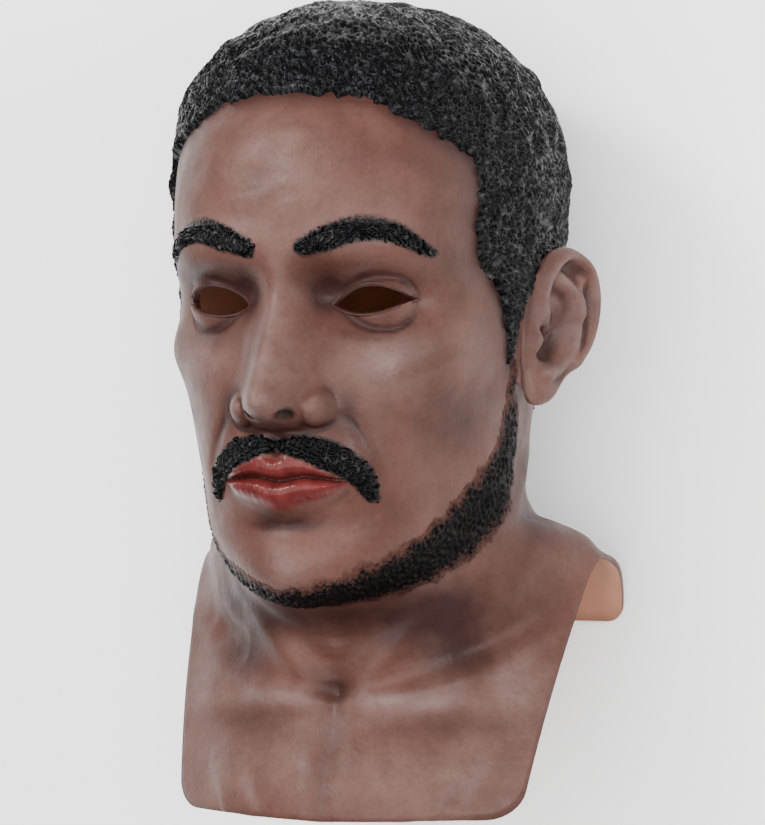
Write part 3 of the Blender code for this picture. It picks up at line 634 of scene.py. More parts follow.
def laid_down():
    """The floor's depth under the head and the middle of its length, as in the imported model."""
    angles, stations = loft_grid(PLAN_COLUMNS, PLAN_ROWS)
    skin, normals = skin_form(angles, stations)
    hair = hair_height(angles, skin[..., 1], True) * above_neck(stations)
    plan = skin + normals * hair[..., None]
    lowest = plan[stations[:, 0] < 9][..., 2].min()
    return lowest + REST_DEPTH / PART, (plan[..., 1].min() + plan[..., 1].max()) / 2


FLOOR, MIDDLE = laid_down()
SHIFT = np.array([0.0, -MIDDLE, -FLOOR])


def rest(points, above=0.0):
    """Points pressed flat where they would reach below the floor."""
    points = points.copy()
    points[..., 2] = np.maximum(points[..., 2], FLOOR + above)
    return points


def mesh_object(name, points, faces, paint=None, materials=(), face_materials=None):
    """A smooth piece from points in parts, with its paint in attributes."""
    mesh = bpy.data.meshes.new(name)
    mesh.from_pydata((np.asarray(points) + SHIFT) * PART, [], faces)
    for layer, values in (paint or {}).items():
        mesh.attributes.new(layer, "FLOAT", "POINT").data.foreach_set("value", np.ravel(values))
    for material in materials:
        mesh.materials.append(material)
    if face_materials is not None:
        mesh.polygons.foreach_set("material_index", face_materials)
    mesh.shade_smooth()
    piece = bpy.data.objects.new(name, mesh)
    bpy.context.scene.collection.objects.link(piece)
    return piece


def carries(piece):
    """Puts a piece on the mask's body, in place of the solid."""
    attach(piece, "root")
    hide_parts("mask")


# The airbrushed paint as soft masks over the form: the black beard's middle line and its half widths along
# it, then patches of painted shade and of painted highlight, each with its centre (x, y, z), reach (x, y, z)
# and amount, mirrored, in parts
BEARD_PATH = (
    (70.5, -21, 13), (68.5, -37, 10), (66.5, -53, 7), (62, -72, 13),
    (53, -89, 29), (38, -105, 49), (19, -115, 68), (0, -118, 75),
)
BEARD_HALF = (1.5, 4.5, 9.5, 13.5, 14.0, 13.0, 12.0, 11.5)
# Painted shade in hollows, under the jaw and round the neck
SHADES = (
    ((31, 8, 72), (21, 10, 26), 0.8),  # under the brow
    ((15, 2, 84), (6, 10, 20), 0.7),  # inner corner of the eye
    ((33, -14, 76), (19, 4, 22), 0.45),  # under the eye
    ((24, -42, 88), (5, 9, 18), 0.7),  # beside the nose
    ((32, -58, 78), (7, 14, 24), 0.45),  # beside the mouth
    ((0, -84, 88), (20, 5, 20), 0.6),  # under the lower lip
    ((60, 30, 48), (15, 26, 24), 0.3),  # temple
    ((55, -44, 50), (14, 14, 26), 0.65),  # under the cheekbone
    ((0, -49, 94), (14, 3.5, 16), 0.6),  # under the nose
    ((24, -124, 40), (34, 10, 40), 0.85),  # under the jaw
    ((44, -116, 8), (22, 16, 26), 0.75),  # side of the neck
    ((66, -80, -16), (15, 30, 18), 0.75),  # behind the jaw
    ((42, -140, 10), (17, 9, 22), 0.75),  # over the collarbone
    ((0, -153, 30), (8, 6, 16), 0.7),  # notch
    ((0, -180, 42), (5, 30, 16), 0.4),  # down the breastbone
    ((44, -166, 22), (26, 6, 24), 0.5),  # under the collarbone
)
# Painted highlights on raised parts of the face, neck and chest
LIGHTS = (
    ((0, -20, 108), (8, 30, 26), 0.55),  # bridge of the nose
    ((0, 48, 94), (40, 22, 30), 0.15),  # forehead
    ((40, -24, 76), (20, 12, 24), 0.65),  # cheek
    ((30, 27, 88), (22, 5, 20), 0.4),  # brow
    ((0, -104, 90), (13, 8, 20), 0.35),  # chin
    ((28, -157, 28), (26, 4, 20), 0.75),  # collarbone
    ((46, -186, 30), (30, 18, 34), 0.4),  # chest
    ((40, -126, 22), (8, 18, 20), 0.6),  # neck muscle
    ((70, -152, 6), (12, 14, 20), 0.6),  # shoulder
    ((80, -4, -10), (20, 30, 16), 0.45),  # ear
)


def patches(points, spots):
    """How strongly soft patches cover each point, from 0 to 1."""
    total = np.zeros(points.shape[:-1])
    folded = folded_over(points)
    for centre, reach, amount in spots:
        total += amount * np.exp(-(((folded - centre) / reach) ** 2).sum(-1))
    return np.clip(total, 0, 1)


def beard_cover(points, spread):
    """How black the beard is at each point, from 0 to 1, over an edge as wide as its spread each way."""
    distance, share = path_distance(folded_over(points), smooth_path(BEARD_PATH, 4))
    half = np.interp(share, np.linspace(0, 1, len(BEARD_HALF)), BEARD_HALF)
    ragged = 0.7 * waves(points, 9.0, 11, 40) + 0.4 * waves(points, 3.0, 12, 40)
    return smoothstep(spread, -spread, distance - half + ragged)


def hair_edge_path():
    """The hair's edge on the left half of the skin, as points in space."""
    outline = smooth_path(np.array(HAIR_OUTLINE, float), 3)
    down = np.linspace(FIRST_STATION, 12.0, 240)
    path = []
    for degrees, height in outline:
        x, y, z = base_form(np.full(down.shape, math.radians(degrees)), down)
        path.append([np.interp(-height, -y, column) for column in (x, y, z)])
    return np.array(path)


def hollows(points, normals, step=2):
    """How hollow and how raised a closed-round grid is at each point, both from 0 to 1."""
    around = np.roll(points, step, axis=1) + np.roll(points, -step, axis=1) - 2 * points
    along = np.zeros(points.shape)
    along[step:-step] = points[2 * step:] + points[:-2 * step] - 2 * points[step:-step]
    reach = np.linalg.norm(np.roll(points, step, axis=1) - points, axis=-1)
    height = np.linalg.norm(np.gradient(points, axis=0), axis=-1) * step
    bend = (around * normals).sum(-1) / np.maximum(reach, 0.8) ** 2
    bend = bend + (along * normals).sum(-1) / np.maximum(height, 0.8) ** 2
    for _pass in range(3):
        bend = (2 * bend + np.roll(bend, 1, axis=1) + np.roll(bend, -1, axis=1)) / 4
        bend[1:-1] = (2 * bend[1:-1] + bend[:-2] + bend[2:]) / 4
    return smoothstep(0.02, 0.22, bend), smoothstep(-0.05, -0.3, bend)


def nearest_values(places, values, wanted):
    """The values at the grid points nearest to the wanted places."""
    tree = KDTree(len(places))
    for index, place in enumerate(places):
        tree.insert(place, index)
    tree.balance()
    found = [tree.find(place)[1] for place in wanted]
    return [layer[found] for layer in values]


def lip_cover(points):
    """Where the lips' paint lies, from 0 to 1."""
    x, y, z = np.moveaxis(points, -1, 0)
    upper, _line, lower = mouth_lines(x)
    inside = np.minimum(upper - y, y - lower)
    return smoothstep(-0.5, 0.8, inside) * (np.abs(x) < MOUTH_HALF) * smoothstep(50, 60, z)


def band_reach(points, path, half_widths):
    """How far inside a band in the face's plane points lie, with their share along it and height over it."""
    plane = np.stack([np.abs(points[..., 0]), points[..., 1]], -1)
    smooth = smooth_path(path)
    distance, share = path_distance(plane, smooth)
    half = np.interp(share, np.linspace(0, 1, len(half_widths)), half_widths)
    over = plane[..., 1] - np.interp(share * (len(smooth) - 1), np.arange(len(smooth)), smooth[:, 1])
    return half - distance, share, over


def paint_layers(points, hollow=0.0, raised=0.0):
    """Every mask that the painted latex shows, by name: painted shade, painted highlight, lips, black paint
    and painted shadow.
    """
    x, y, z = np.moveaxis(points, -1, 0)
    on_head = smoothstep(-126, -112, y)
    hollow, raised = hollow * on_head, raised * on_head
    from_hair = path_distance(folded_over(points), hair_edge_path())[0]
    # painted shadow on the skin along the hair's edge
    shadow_beside_hair = 0.8 * bump(from_hair, 4.5) * smoothstep(-60, -30, y)
    front = smoothstep(30, 50, z)
    brow = smoothstep(-1.8, 1.0, band_reach(points, BROW_PATH, BROW_HALVES)[0]) * front
    moustache = smoothstep(-1.6, 1.0, band_reach(points, MOUSTACHE_PATH, MOUSTACHE_HALVES)[0]) * front
    # painted shadow in the nostrils and along the line between the lips
    nostril = np.stack([np.abs(x), y - 2, z + 1], -1) - NOSTRIL
    painted_shadow = smoothstep(1.25, 0.7, np.linalg.norm(nostril / NOSTRIL_RADII, axis=-1))
    line = mouth_lines(x)[1]
    between_lips = smoothstep(MOUTH_HALF, MOUTH_HALF - 4, np.abs(x)) * front
    painted_shadow = np.maximum(painted_shadow, 0.8 * bump(y - line, 0.7) * between_lips)
    black = np.maximum(np.maximum(beard_cover(points, 7.0), brow), 0.9 * moustache)
    return {
        # painted shade in the shade patches, by the hair and in hollows; painted highlight on the highlight
        # patches and raised parts
        "shade": np.clip(patches(points, SHADES) + shadow_beside_hair + 0.8 * hollow, 0, 1),
        "light": np.clip(patches(points, LIGHTS) + 0.35 * raised - 0.5 * hollow, 0, 1),
        "lips": lip_cover(points) * (1 - moustache),
        "black": black,
        "painted_shadow": painted_shadow,
    }


class Paint:
    """A node material built up from sockets."""

    def __init__(self, name):
        self.material = bpy.data.materials.new(name)
        self.material.use_nodes = True
        self.nodes = self.material.node_tree.nodes
        self.links = self.material.node_tree.links
        self.shader = self.nodes["Principled BSDF"]

    def set(self, socket, value):
        if isinstance(value, bpy.types.NodeSocket):
            self.links.new(value, socket)
        else:
            socket.default_value = value

    def place(self):
        return self.nodes.new("ShaderNodeTexCoord").outputs["Object"]

    def mask(self, name):
        node = self.nodes.new("ShaderNodeAttribute")
        node.attribute_name = name
        return node.outputs["Fac"]

    def noise(self, scale, detail=3.0, roughness=0.55, stretch=None):
        node = self.nodes.new("ShaderNodeTexNoise")
        place = self.place()
        if stretch:
            mapping = self.nodes.new("ShaderNodeMapping")
            mapping.inputs["Scale"].default_value = stretch
            self.links.new(place, mapping.inputs["Vector"])
            place = mapping.outputs["Vector"]
        self.links.new(place, node.inputs["Vector"])
        node.inputs["Scale"].default_value = scale
        node.inputs["Detail"].default_value = detail
        node.inputs["Roughness"].default_value = roughness
        return node.outputs["Fac"]

    def cell_edges(self, scale):
        node = self.nodes.new("ShaderNodeTexVoronoi")
        node.feature = "DISTANCE_TO_EDGE"
        self.links.new(self.place(), node.inputs["Vector"])
        node.inputs["Scale"].default_value = scale
        return node.outputs["Distance"]

    def math(self, operation, a, b=0.0):
        node = self.nodes.new("ShaderNodeMath")
        node.operation = operation
        self.set(node.inputs[0], a)
        self.set(node.inputs[1], b)
        return node.outputs[0]

    def spread(self, value, low, high, to_low=0.0, to_high=1.0):
        node = self.nodes.new("ShaderNodeMapRange")
        self.set(node.inputs["Value"], value)
        for name, number in (("From Min", low), ("From Max", high), ("To Min", to_low), ("To Max", to_high)):
            node.inputs[name].default_value = number
        return node.outputs["Result"]

    def mix(self, share, first, second):
        node = self.nodes.new("ShaderNodeMix")
        node.data_type = "RGBA"
        self.set(node.inputs["Factor"], share)
        for socket, colour in ((node.inputs[6], first), (node.inputs[7], second)):
            self.set(socket, colour if isinstance(colour, bpy.types.NodeSocket) else (*colour, 1.0))
        return node.outputs[2]

    def bump(self, height, distance, strength=1.0, under=None):
        node = self.nodes.new("ShaderNodeBump")
        node.inputs["Distance"].default_value = distance
        self.set(node.inputs["Strength"], strength)
        self.links.new(height, node.inputs["Height"])
        if under:
            self.links.new(under, node.inputs["Normal"])
        return node.outputs["Normal"]

    def finish(self, colour, roughness, normal=None):
        self.set(self.shader.inputs["Base Color"], colour)
        self.set(self.shader.inputs["Roughness"], roughness)
        if normal:
            self.links.new(normal, self.shader.inputs["Normal"])
        return self.material


# Colours, among them those of painted highlight, painted shade and painted shadow, and how far the gloss
# paints mirror
BROWN = (0.09, 0.039, 0.03)
DEEP_BROWN = (0.06, 0.024, 0.018)
# grey of painted highlights
PAINTED_HIGHLIGHT_GREY = (0.15, 0.1, 0.09)
# red-brown of painted shade, also used for random specks
SHADE_AND_SPECKLE_BROWN = (0.022, 0.0075, 0.006)
LIP_RED = (0.095, 0.016, 0.015)
LIP_DEEP = (0.06, 0.008, 0.0075)
BLACK = (0.0015, 0.0015, 0.0018)
# grey of painted glints on the tops of the curls
PAINTED_GLINT_GREY = (0.1, 0.1, 0.105)
# near black of painted shadow
PAINTED_SHADOW_BLACK = (0.012, 0.005, 0.003)
BARE_TAN = (0.36, 0.165, 0.098)
DARKER_TAN = (0.3, 0.13, 0.075)
SKIN_GLOSS = 0.14
BEARD_GLOSS = 0.03
HAIR_GLOSS = 0.07


def painted_latex(name, gloss):
    """Satin brown latex: painted shade and painted highlights, red lips, a soft black beard, painted shadow
    in the nostrils and between the lips, and fine pores and creases.
    """
    paint = Paint(name)
    paint.shader.inputs["Specular IOR Level"].default_value = gloss
    mottle = paint.noise(34, 5.0, 0.6)
    speckle = paint.noise(420, 3.0, 0.7)
    # painted highlight: grey where the light mask lies, broken up by the mottle
    light = paint.math("MULTIPLY", paint.mask("light"), paint.spread(mottle, 0.36, 0.62, 0.45, 1.25))
    shade = paint.math("MULTIPLY", paint.mask("shade"), paint.spread(mottle, 0.35, 0.65, 1.3, 0.85))
    colour = paint.mix(paint.spread(mottle, 0.38, 0.66), DEEP_BROWN, BROWN)
    colour = paint.mix(paint.math("MULTIPLY", light, 0.8), colour, PAINTED_HIGHLIGHT_GREY)
    # painted shade: red-brown where the shade mask lies
    colour = paint.mix(shade, colour, SHADE_AND_SPECKLE_BROWN)
    # random specks in the same red-brown
    colour = paint.mix(paint.spread(speckle, 0.52, 0.7, 0.0, 0.22), colour, SHADE_AND_SPECKLE_BROWN)
    lip = paint.mix(paint.spread(paint.noise(120, 3.0, 0.5, (2.0, 0.6, 1.0)), 0.3, 0.7), LIP_DEEP, LIP_RED)
    colour = paint.mix(paint.mask("lips"), colour, lip)
    grain = paint.spread(paint.noise(700, 2.0, 0.6), 0.35, 0.62, 0.3, -0.3)
    black = paint.math("ADD", paint.mask("black"), paint.math("MULTIPLY", grain, paint.mask("black")))
    colour = paint.mix(paint.spread(black, 0.15, 0.8), colour, BLACK)
    # painted shadow: near black in the nostrils and between the lips
    colour = paint.mix(paint.mask("painted_shadow"), colour, PAINTED_SHADOW_BLACK)
    rough = paint.spread(paint.noise(90, 4.0), 0.3, 0.7, 0.36, 0.52)
    rough = paint.math("SUBTRACT", rough, paint.math("MULTIPLY", paint.mask("lips"), 0.2))
    rough = paint.math("SUBTRACT", rough, paint.math("MULTIPLY", paint.mask("black"), 0.12))
    creases = paint.bump(paint.cell_edges(330), 0.0004, 0.16)
    pores = paint.bump(speckle, 0.0005, 0.3, creases)
    lip_lines = paint.noise(520, 2.0, 0.5, (1.0, 0.12, 0.4))
    pores = paint.bump(lip_lines, 0.0011, paint.math("MULTIPLY", paint.mask("lips"), 0.4), pores)
    stipple = paint.noise(650, 2.0, 0.6)
    pores = paint.bump(stipple, 0.0014, paint.math("MULTIPLY", paint.mask("black"), 0.55), pores)
    dents = paint.bump(paint.noise(75, 3.0), 0.0022, 0.22, pores)
    return paint.finish(colour, rough, dents)


def hair_paint():
    """Gloss black paint over moulded curls, with painted grey glints on their tops."""
    paint = Paint("hair paint")
    paint.shader.inputs["Specular IOR Level"].default_value = HAIR_GLOSS
    # painted glints: grey in scattered spots on the curls' crests, also on the moustache and eyebrows
    glint_spots = paint.spread(paint.noise(300, 4.0, 0.7), 0.5, 0.72)
    painted_glints = paint.math("MULTIPLY", glint_spots, paint.math("POWER", paint.mask("crest"), 3.0))
    colour = paint.mix(paint.math("MULTIPLY", painted_glints, 0.55), BLACK, PAINTED_GLINT_GREY)
    rough = paint.spread(paint.noise(160, 3.0), 0.3, 0.7, 0.16, 0.32)
    strands = paint.bump(paint.noise(900, 2.0, 0.5), 0.0009, 0.35)
    return paint.finish(colour, rough, strands)


def bare_latex():
    """The unpainted inside: matt tan, a little uneven where the latex pooled."""
    paint = Paint("bare latex")
    pooled = paint.noise(26, 4.0, 0.6)
    colour = paint.mix(paint.spread(pooled, 0.35, 0.65), BARE_TAN, DARKER_TAN)
    ripple = paint.bump(paint.noise(110, 3.0), 0.0012, 0.25)
    return paint.finish(colour, paint.spread(pooled, 0.3, 0.7, 0.55, 0.75), ripple)


# Under the hair patches the skin follows a share of the hair, some parts lower
UNDER_HAIR_SHARE = 0.8
UNDER_HAIR_GAP = 2.4


def surface_tree(grid):
    corners = [Vector(point) for point in grid.reshape(-1, 3)]
    return BVHTree.FromPolygons(corners, grid_faces(len(grid), grid.shape[1], 0))


def build_skin(painted, bare):
    """The closed skin, painted outside and bare inside, with its eye openings cut."""
    angles, stations = loft_grid(SKIN_COLUMNS, SKIN_ROWS)
    outer, normals = skin_form(angles, stations)
    hair = UNDER_HAIR_SHARE * hair_height(angles, outer[..., 1], True) - UNDER_HAIR_GAP
    hair = np.maximum(hair, 0) * above_neck(stations)
    outer = rest(outer + normals * hair[..., None])
    smooth = lining_form(*loft_grid(SKIN_COLUMNS, LINING_ROWS))
    wall = WALL / PART
    inner = rest(smooth - grid_normals(smooth) * wall, wall)
    rows, inner_rows, columns = len(outer), len(inner), SKIN_COLUMNS
    count = rows * columns
    total = count + inner_rows * columns
    poles = [outer[0].mean(0), inner[0].mean(0)]
    points = np.concatenate([outer.reshape(-1, 3), inner.reshape(-1, 3), poles])
    faces = grid_faces(rows, columns, 0) + cap_faces(columns, 0, total)
    painted_faces = len(faces)
    faces += [face[::-1] for face in grid_faces(inner_rows, columns, count)]
    faces += [face[::-1] for face in cap_faces(columns, count, total + 1)]
    bare_faces = len(faces) - painted_faces
    edge, inner_edge = count - columns, total - columns
    for column in range(columns):
        after = (column + 1) % columns
        faces.append((edge + column, inner_edge + column, inner_edge + after, edge + after))
    index = [0] * painted_faces + [1] * bare_faces + [0] * columns
    skin = mesh_object("skin", points, faces, None, (painted, bare), index)
    face_out(skin)
    # the form's hollows and raised parts, which the paint takes for painted shade and painted highlight
    relief_shading = [outer.reshape(-1, 3)] + [layer.ravel() for layer in hollows(outer, grid_normals(outer))]
    return skin, [surface_tree(outer), surface_tree(inner)], relief_shading


def face_out(piece):
    """Turns all faces outward."""
    work = bmesh.new()
    work.from_mesh(piece.data)
    bmesh.ops.recalc_face_normals(work, faces=work.faces)
    work.to_mesh(piece.data)
    work.free()


def cut_eyes(skin, relief_shading):
    """Cuts both almond openings and paints what is left."""
    for side in (1, -1):
        outline = almond(88)
        count = len(outline)
        points = [(side * (EYE_X + x), y, z) for z in (50.0, 125.0) for x, y in outline]
        faces = [tuple(range(count)), tuple(range(2 * count - 1, count - 1, -1))]
        faces += [(i, i + count, (i + 1) % count + count, (i + 1) % count) for i in range(count)]
        cutter = mesh_object("eye cutter", points, faces)
        face_out(cutter)
        modifier = skin.modifiers.new("eye opening", "BOOLEAN")
        modifier.operation = "DIFFERENCE"
        modifier.solver = "EXACT"
        modifier.object = cutter
        bpy.context.view_layer.update()
        done = bpy.data.meshes.new_from_object(skin.evaluated_get(bpy.context.evaluated_depsgraph_get()))
        skin.modifiers.clear()
        skin.data = done
        bpy.data.objects.remove(cutter)
    places = np.empty(len(skin.data.vertices) * 3)
    skin.data.vertices.foreach_get("co", places)
    places = places.reshape(-1, 3) / PART - SHIFT
    hollow, raised = nearest_values(relief_shading[0], relief_shading[1:], places)
    for layer, values in paint_layers(places, hollow, raised).items():
        skin.data.attributes.new(layer, "FLOAT", "POINT").data.foreach_set("value", values)
    skin.data.shade_smooth()


LID_SIZES = (120, 14)  # segments round an eye opening and round its edge
LID_THICK = 1.32  # half the edge's thickness, in parts


def build_lids(painted, trees):
    """The rounded edges of the eye openings."""
    around, across = LID_SIZES
    outline = almond(around)
    for side, name in ((1, "left_lids"), (-1, "right_lids")):
        middle = []
        for x, y in outline * 0.985:
            start = Vector((side * (EYE_X + x), y, 140.0))
            fronts = [tree.ray_cast(start, Vector((0, 0, -1)))[0].z for tree in trees]
            middle.append((side * (EYE_X + x), y, 0.5 * (fronts[0] + fronts[1]) + 0.15))
        middle = np.array(middle)
        along = np.roll(middle, -1, axis=0) - np.roll(middle, 1, axis=0)
        along /= np.linalg.norm(along, axis=1)[:, None]
        out = middle - np.array([side * EYE_X, 0.0, middle[:, 2].mean() - 25.0])
        out -= (out * along).sum(1)[:, None] * along
        out /= np.linalg.norm(out, axis=1)[:, None]
        beside = np.cross(along, out)
        turn = np.arange(across) / across * 2 * math.pi
        rings = middle[:, None] + LID_THICK * (
            out[:, None] * np.cos(turn)[:, None] + 0.62 * beside[:, None] * np.sin(turn)[:, None]
        )
        points = rings.reshape(-1, 3)
        faces = []
        for ring in range(around):
            for spoke in range(across):
                here, there = ring * across, (ring + 1) % around * across
                after = (spoke + 1) % across
                faces.append((here + spoke, there + spoke, there + after, here + after))
        layers = paint_layers(points)
        # painted shade over the whole rounded edge of each eye opening
        layers["shade"] = np.full(len(points), 0.75)
        lids = mesh_object(name, points, faces, layers, (painted,))
        face_out(lids)
        carries(lids)


# Columns of an ear's mesh, and its rings in front and behind
EAR_SIZES = (104, 46, 26)


def build_ears(painted, tree):
    columns, front, back = EAR_SIZES
    sheet = ear_sheet(columns, front, back)
    rings = place_ear(sheet, columns, tree)
    for side, name in ((1, "left_ear"), (-1, "right_ear")):
        points = np.concatenate([rings.reshape(-1, 3), [rings[0].mean(axis=0), rings[-1].mean(axis=0)]])
        points = points * [side, 1, 1]
        count = len(rings) * columns
        faces = grid_faces(len(rings), columns, 0) + cap_faces(columns, 0, count)
        faces += [face[::-1] for face in cap_faces(columns, count - columns, count + 1)]
        relief_shading = hollows(rings, grid_normals(rings))
        hollow, raised = [np.append(layer.ravel(), [0.0, 0.0]) for layer in relief_shading]
        layers = paint_layers(points, hollow, raised)
        # painted shade in the ear's bowl, on its back where it faces the head, and in its hollows
        bowl = np.exp(-((sheet[..., 0] + 2) / 7) ** 2 - ((sheet[..., 1] + 4) / 12) ** 2)
        hidden = smoothstep(front - 4, front + 6, np.arange(len(rings)))[:, None] * np.ones(columns)
        painted_ear_shade = np.append(np.clip(0.7 * bowl + 0.3 * hidden, 0, 1).ravel(), [0.9, 0.9])
        layers["shade"] = np.clip(painted_ear_shade + 0.8 * hollow, 0, 1)
        layers["black"] = np.zeros(len(points))
        ear = mesh_object(name, points, faces, layers, (painted,))
        face_out(ear)
        carries(ear)


def add_patch(name, points, keep, layers, material, strides=None, sector=None, normals=None):
    """A raised patch of skin: the kept cells of a grid, whose edges lie sunk in the skin.

    A sector of a grid that closes round the head takes the columns that it names, up to the pole."""
    rows, columns = keep.shape
    closed = sector is not None
    sector = sector if closed else np.ones(columns, bool)
    strides = strides if strides is not None else np.ones(rows, int)
    faces = []
    for column in range(0, columns if closed else 0, strides[0]):
        if sector[column]:
            faces.append((rows * columns, column, (column + strides[0]) % columns))
    for row in range(rows - 1):
        wide, narrow = strides[row], strides[row + 1]
        for column in range(0, columns if closed else columns - 1, wide):
            after = (column + wide) % columns
            if not sector[column]:
                continue
            if not (keep[row, column] or keep[row + 1, column] or keep[row, after] or keep[row + 1, after]):
                continue
            top = row * columns
            low = [top + columns + (column + k) % columns for k in range(0, wide + 1, narrow)]
            faces.append((top + column, *low, top + after))
    used = np.unique(np.concatenate([np.asarray(face) for face in faces]))
    renumber = np.zeros(rows * columns + 1, int)
    renumber[used] = np.arange(len(used))
    faces = [tuple(renumber[list(face)]) for face in faces]
    points = np.concatenate([points.reshape(-1, 3), [points[0].mean(0)]])
    paint = {layer: np.append(values, values[0].mean())[used] for layer, values in layers.items()}
    piece = mesh_object(name, points[used], faces, paint, (material,))
    if normals is not None:
        normals = np.concatenate([normals.reshape(-1, 3), [normals[0].mean(0)]])
        piece.data.normals_split_custom_set_from_vertices(normals[used])
    carries(piece)
    return piece


def ring_strides(stations):
    """How many columns a face spans in each ring: more towards the pole, where the columns crowd."""
    return np.select([stations < 0.45, stations < 0.95, stations < 1.9], [8, 4, 2], 1)


def build_hair(gloss):
    """The moulded curls, in four patches round the head."""
    around = np.arange(HAIR_COLUMNS) / HAIR_COLUMNS * 2 * math.pi - math.pi
    down = np.linspace(FIRST_STATION, 11.2, HAIR_ROWS) ** 0.86
    down = FIRST_STATION + (down - down[0]) / (down[-1] - down[0]) * (10.9 - FIRST_STATION)
    angles, stations = np.meshgrid(around, down)
    skin, normals = skin_form(angles, stations)
    height = skin[..., 1]
    ragged = 0.55 * waves(skin, 6.5, 21, 40) + 0.25 * waves(skin, 2.6, 22, 40)
    reach = hair_reach(angles, height) + ragged * smoothstep(-30, 20, height)
    edge = smoothstep(-0.4, 1.5, reach)
    body = hair_body(reach, height)
    curls = np.maximum(worms(skin, 3.9, 31), 0.85 * worms(skin, 3.3, 32))
    clumps = waves(skin, 13.0, 33, 60)
    rise = edge * (0.88 * body + 0.4 * clumps + 1.3 * (curls - 0.6)) - SINK * (1 - edge)
    points = rest(skin + normals * rise[..., None])
    strides = ring_strides(stations[:, 0])
    keep = reach > -0.9
    facing = grid_normals(points)
    in_front = np.abs(np.degrees(around)) < 100
    for side, half in (("hair_left", around >= 0), ("hair_right", around < 0)):
        for name, sector in ((side + "_front", half & in_front), (side + "_back", half & ~in_front)):
            add_patch(name, points, keep, {"crest": curls}, gloss, strides, sector, facing)


def front_patch(degrees, columns, stations, rows):
    """The skin and its normals on an open grid over part of the head."""
    coarser = 1
    around = np.radians(np.linspace(*degrees, columns // coarser))
    return skin_form(*np.meshgrid(around, np.linspace(*stations, rows // coarser)), False)


def build_beard(painted):
    skin, normals = front_patch((-92, 92), 420, (7.0, 13.9), 180)
    cover = beard_cover(skin, 5.0)
    beads = np.clip(waves(skin, 2.7, 41), -1.3, 1.8)
    rise = smoothstep(0.02, 0.3, cover)
    height = rise * 0.12 + smoothstep(0.25, 0.95, cover) * (0.36 + 0.3 * beads) - SINK * (1 - rise)
    points = skin + normals * height[..., None]
    add_patch("beard", points, cover > 0.0, paint_layers(skin), painted)


def build_moustache(gloss):
    skin, normals = front_patch((-38, 38), 300, (8.1, 10.3), 140)
    reach = band_reach(skin, MOUSTACHE_PATH, MOUSTACHE_HALVES)[0] + 0.5 * waves(skin, 3.2, 51, 40)
    curls = worms(skin, 2.7, 52)
    edge = smoothstep(-0.5, 1.3, reach)
    height = edge * (1.5 + 1.0 * (curls - 0.5)) - 1.6 * SINK * (1 - edge)
    points = skin + normals * height[..., None] * [1, 1, 0.4] + [0, 0, 0.6] * height[..., None]
    add_patch("moustache", points, reach > -1.0, {"crest": curls}, gloss)


BROW_STRAND = 1.75  # from one strand of an eyebrow to the next, in parts


def build_brows(gloss):
    for side, name in ((1, "left_eyebrow"), (-1, "right_eyebrow")):
        skin, normals = front_patch((4 * side, 47 * side), 200, (4.7, 5.45), 80)
        reach, share, over = band_reach(skin, BROW_PATH, BROW_HALVES)
        lean = np.radians(62 - 58 * share)
        across = over * np.cos(lean) - 44 * share * np.sin(lean)
        phase = across * 2 * math.pi / BROW_STRAND
        phase = phase + 1.5 * waves(skin, 5.0, 61, 40) + 0.8 * waves(skin, 2.2, 62, 40)
        strands = 0.5 + 0.5 * np.cos(phase)
        reach = reach + 1.3 * (strands - 0.6) + 0.4 * waves(skin, 3.0, 63, 40)
        edge = smoothstep(-0.5, 1.4, reach)
        height = edge * (0.9 + 0.9 * strands) - SINK * (1 - edge)
        points = skin + normals * height[..., None]
        brow = add_patch(name, points, reach > -1.0, {"crest": strands}, gloss)
        if side < 0:
            brow.data.flip_normals()


# The studio, in metres and watts: the floor, then each lamp's name, place, size and power
FLOOR_HALF = 4.0
FLOOR_WHITE = (0.96, 0.96, 0.96, 1.0)
SKY_STRENGTH = 0.62
LAMP_AIM = (0.0, 0.0, 0.12)
LAMPS = (
    ("key", (-0.7, 0.8, 1.2), 0.35, 22.0),
    ("side", (1.1, 0.1, 0.8), 0.4, 13.0),
    ("overhead", (0.1, 0.0, 2.4), 3.0, 140.0),
)


def white_floor():
    corners = [(x * FLOOR_HALF, y * FLOOR_HALF, 0) for x, y in ((-1, -1), (1, -1), (1, 1), (-1, 1))]
    mesh = bpy.data.meshes.new("floor")
    mesh.from_pydata(corners, [], [(0, 1, 2, 3)])
    mesh.materials.append(Paint("white floor").finish(FLOOR_WHITE, 0.8))
    floor = bpy.data.objects.new("floor", mesh)
    bpy.context.scene.collection.objects.link(floor)


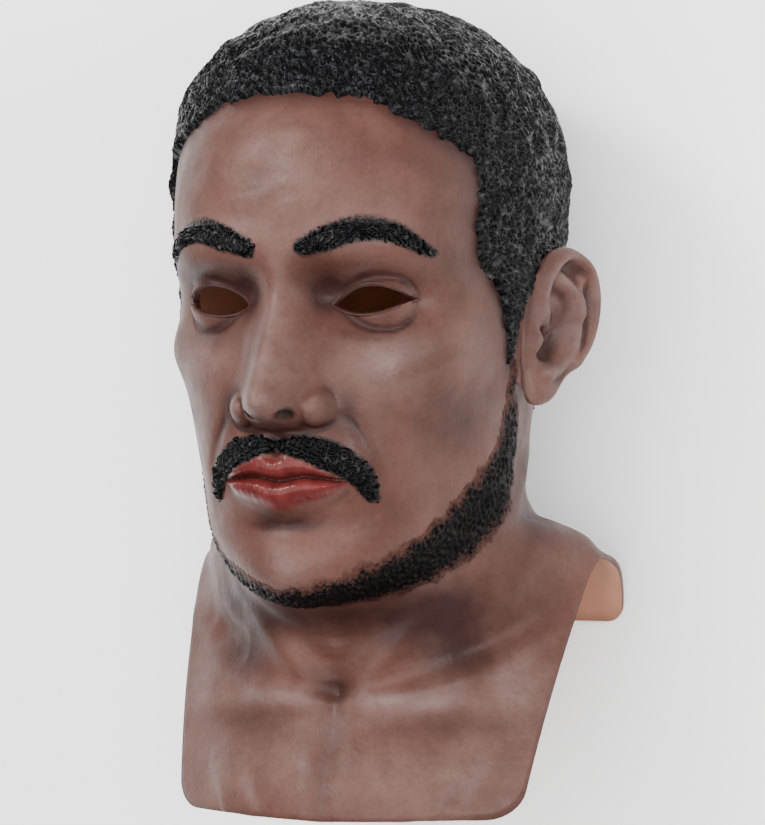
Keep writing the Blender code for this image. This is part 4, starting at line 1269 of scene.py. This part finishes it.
def area_light(name, place, size, power):
    light = bpy.data.lights.new(name, "AREA")
    light.size = size
    light.energy = power
    lamp = bpy.data.objects.new(name, light)
    lamp.location = place
    lamp.rotation_euler = (Vector(LAMP_AIM) - Vector(place)).to_track_quat("-Z", "Y").to_euler()
    bpy.context.scene.collection.objects.link(lamp)


def studio():
    """Soft white light from all round, with a key over the crown and a softer one beside the neck."""
    world = bpy.data.worlds.new("studio")
    world.use_nodes = True
    sky = world.node_tree.nodes["Background"]
    sky.inputs["Color"].default_value = (1.0, 1.0, 1.0, 1.0)
    sky.inputs["Strength"].default_value = SKY_STRENGTH
    bpy.context.scene.world = world
    for lamp in LAMPS:
        area_light(*lamp)


# The photograph's camera: turned to the wearer's left, level with the face
CAMERA_TURN = math.radians(20)
CAMERA_DISTANCE = 1400.0  # this and what follows in parts
CAMERA_AIM = (7.4, -43.0, -2.7)
VIEW_WIDTH = 309.7  # what the picture's width spans at the aim point
SENSOR_WIDTH = 36.0  # in millimetres


def place_camera():
    toward = Vector((math.sin(CAMERA_TURN), 0.0, math.cos(CAMERA_TURN)))
    aim = Vector((np.array(CAMERA_AIM) + SHIFT) * PART)
    data = bpy.data.cameras.new("camera")
    data.sensor_fit = "HORIZONTAL"
    data.sensor_width = SENSOR_WIDTH
    data.lens = SENSOR_WIDTH * CAMERA_DISTANCE / VIEW_WIDTH
    camera = bpy.data.objects.new("camera", data)
    right = Vector((0, 1, 0)).cross(toward).normalized()
    up = toward.cross(right)
    turn = Matrix((right, up, toward)).transposed().to_4x4()
    camera.matrix_world = Matrix.Translation(aim + toward * CAMERA_DISTANCE * PART) @ turn
    bpy.context.scene.collection.objects.link(camera)
    bpy.context.scene.camera = camera


def build():
    painted, gloss, bare = painted_latex("painted latex", SKIN_GLOSS), hair_paint(), bare_latex()
    bearded = painted_latex("beard paint", BEARD_GLOSS)
    skin, trees, relief_shading = build_skin(painted, bare)
    cut_eyes(skin, relief_shading)
    carries(skin)
    build_lids(painted, trees)
    build_ears(painted, trees[0])
    build_hair(gloss)
    build_beard(bearded)
    build_moustache(gloss)
    build_brows(gloss)
    white_floor()
    studio()
    place_camera()


build()
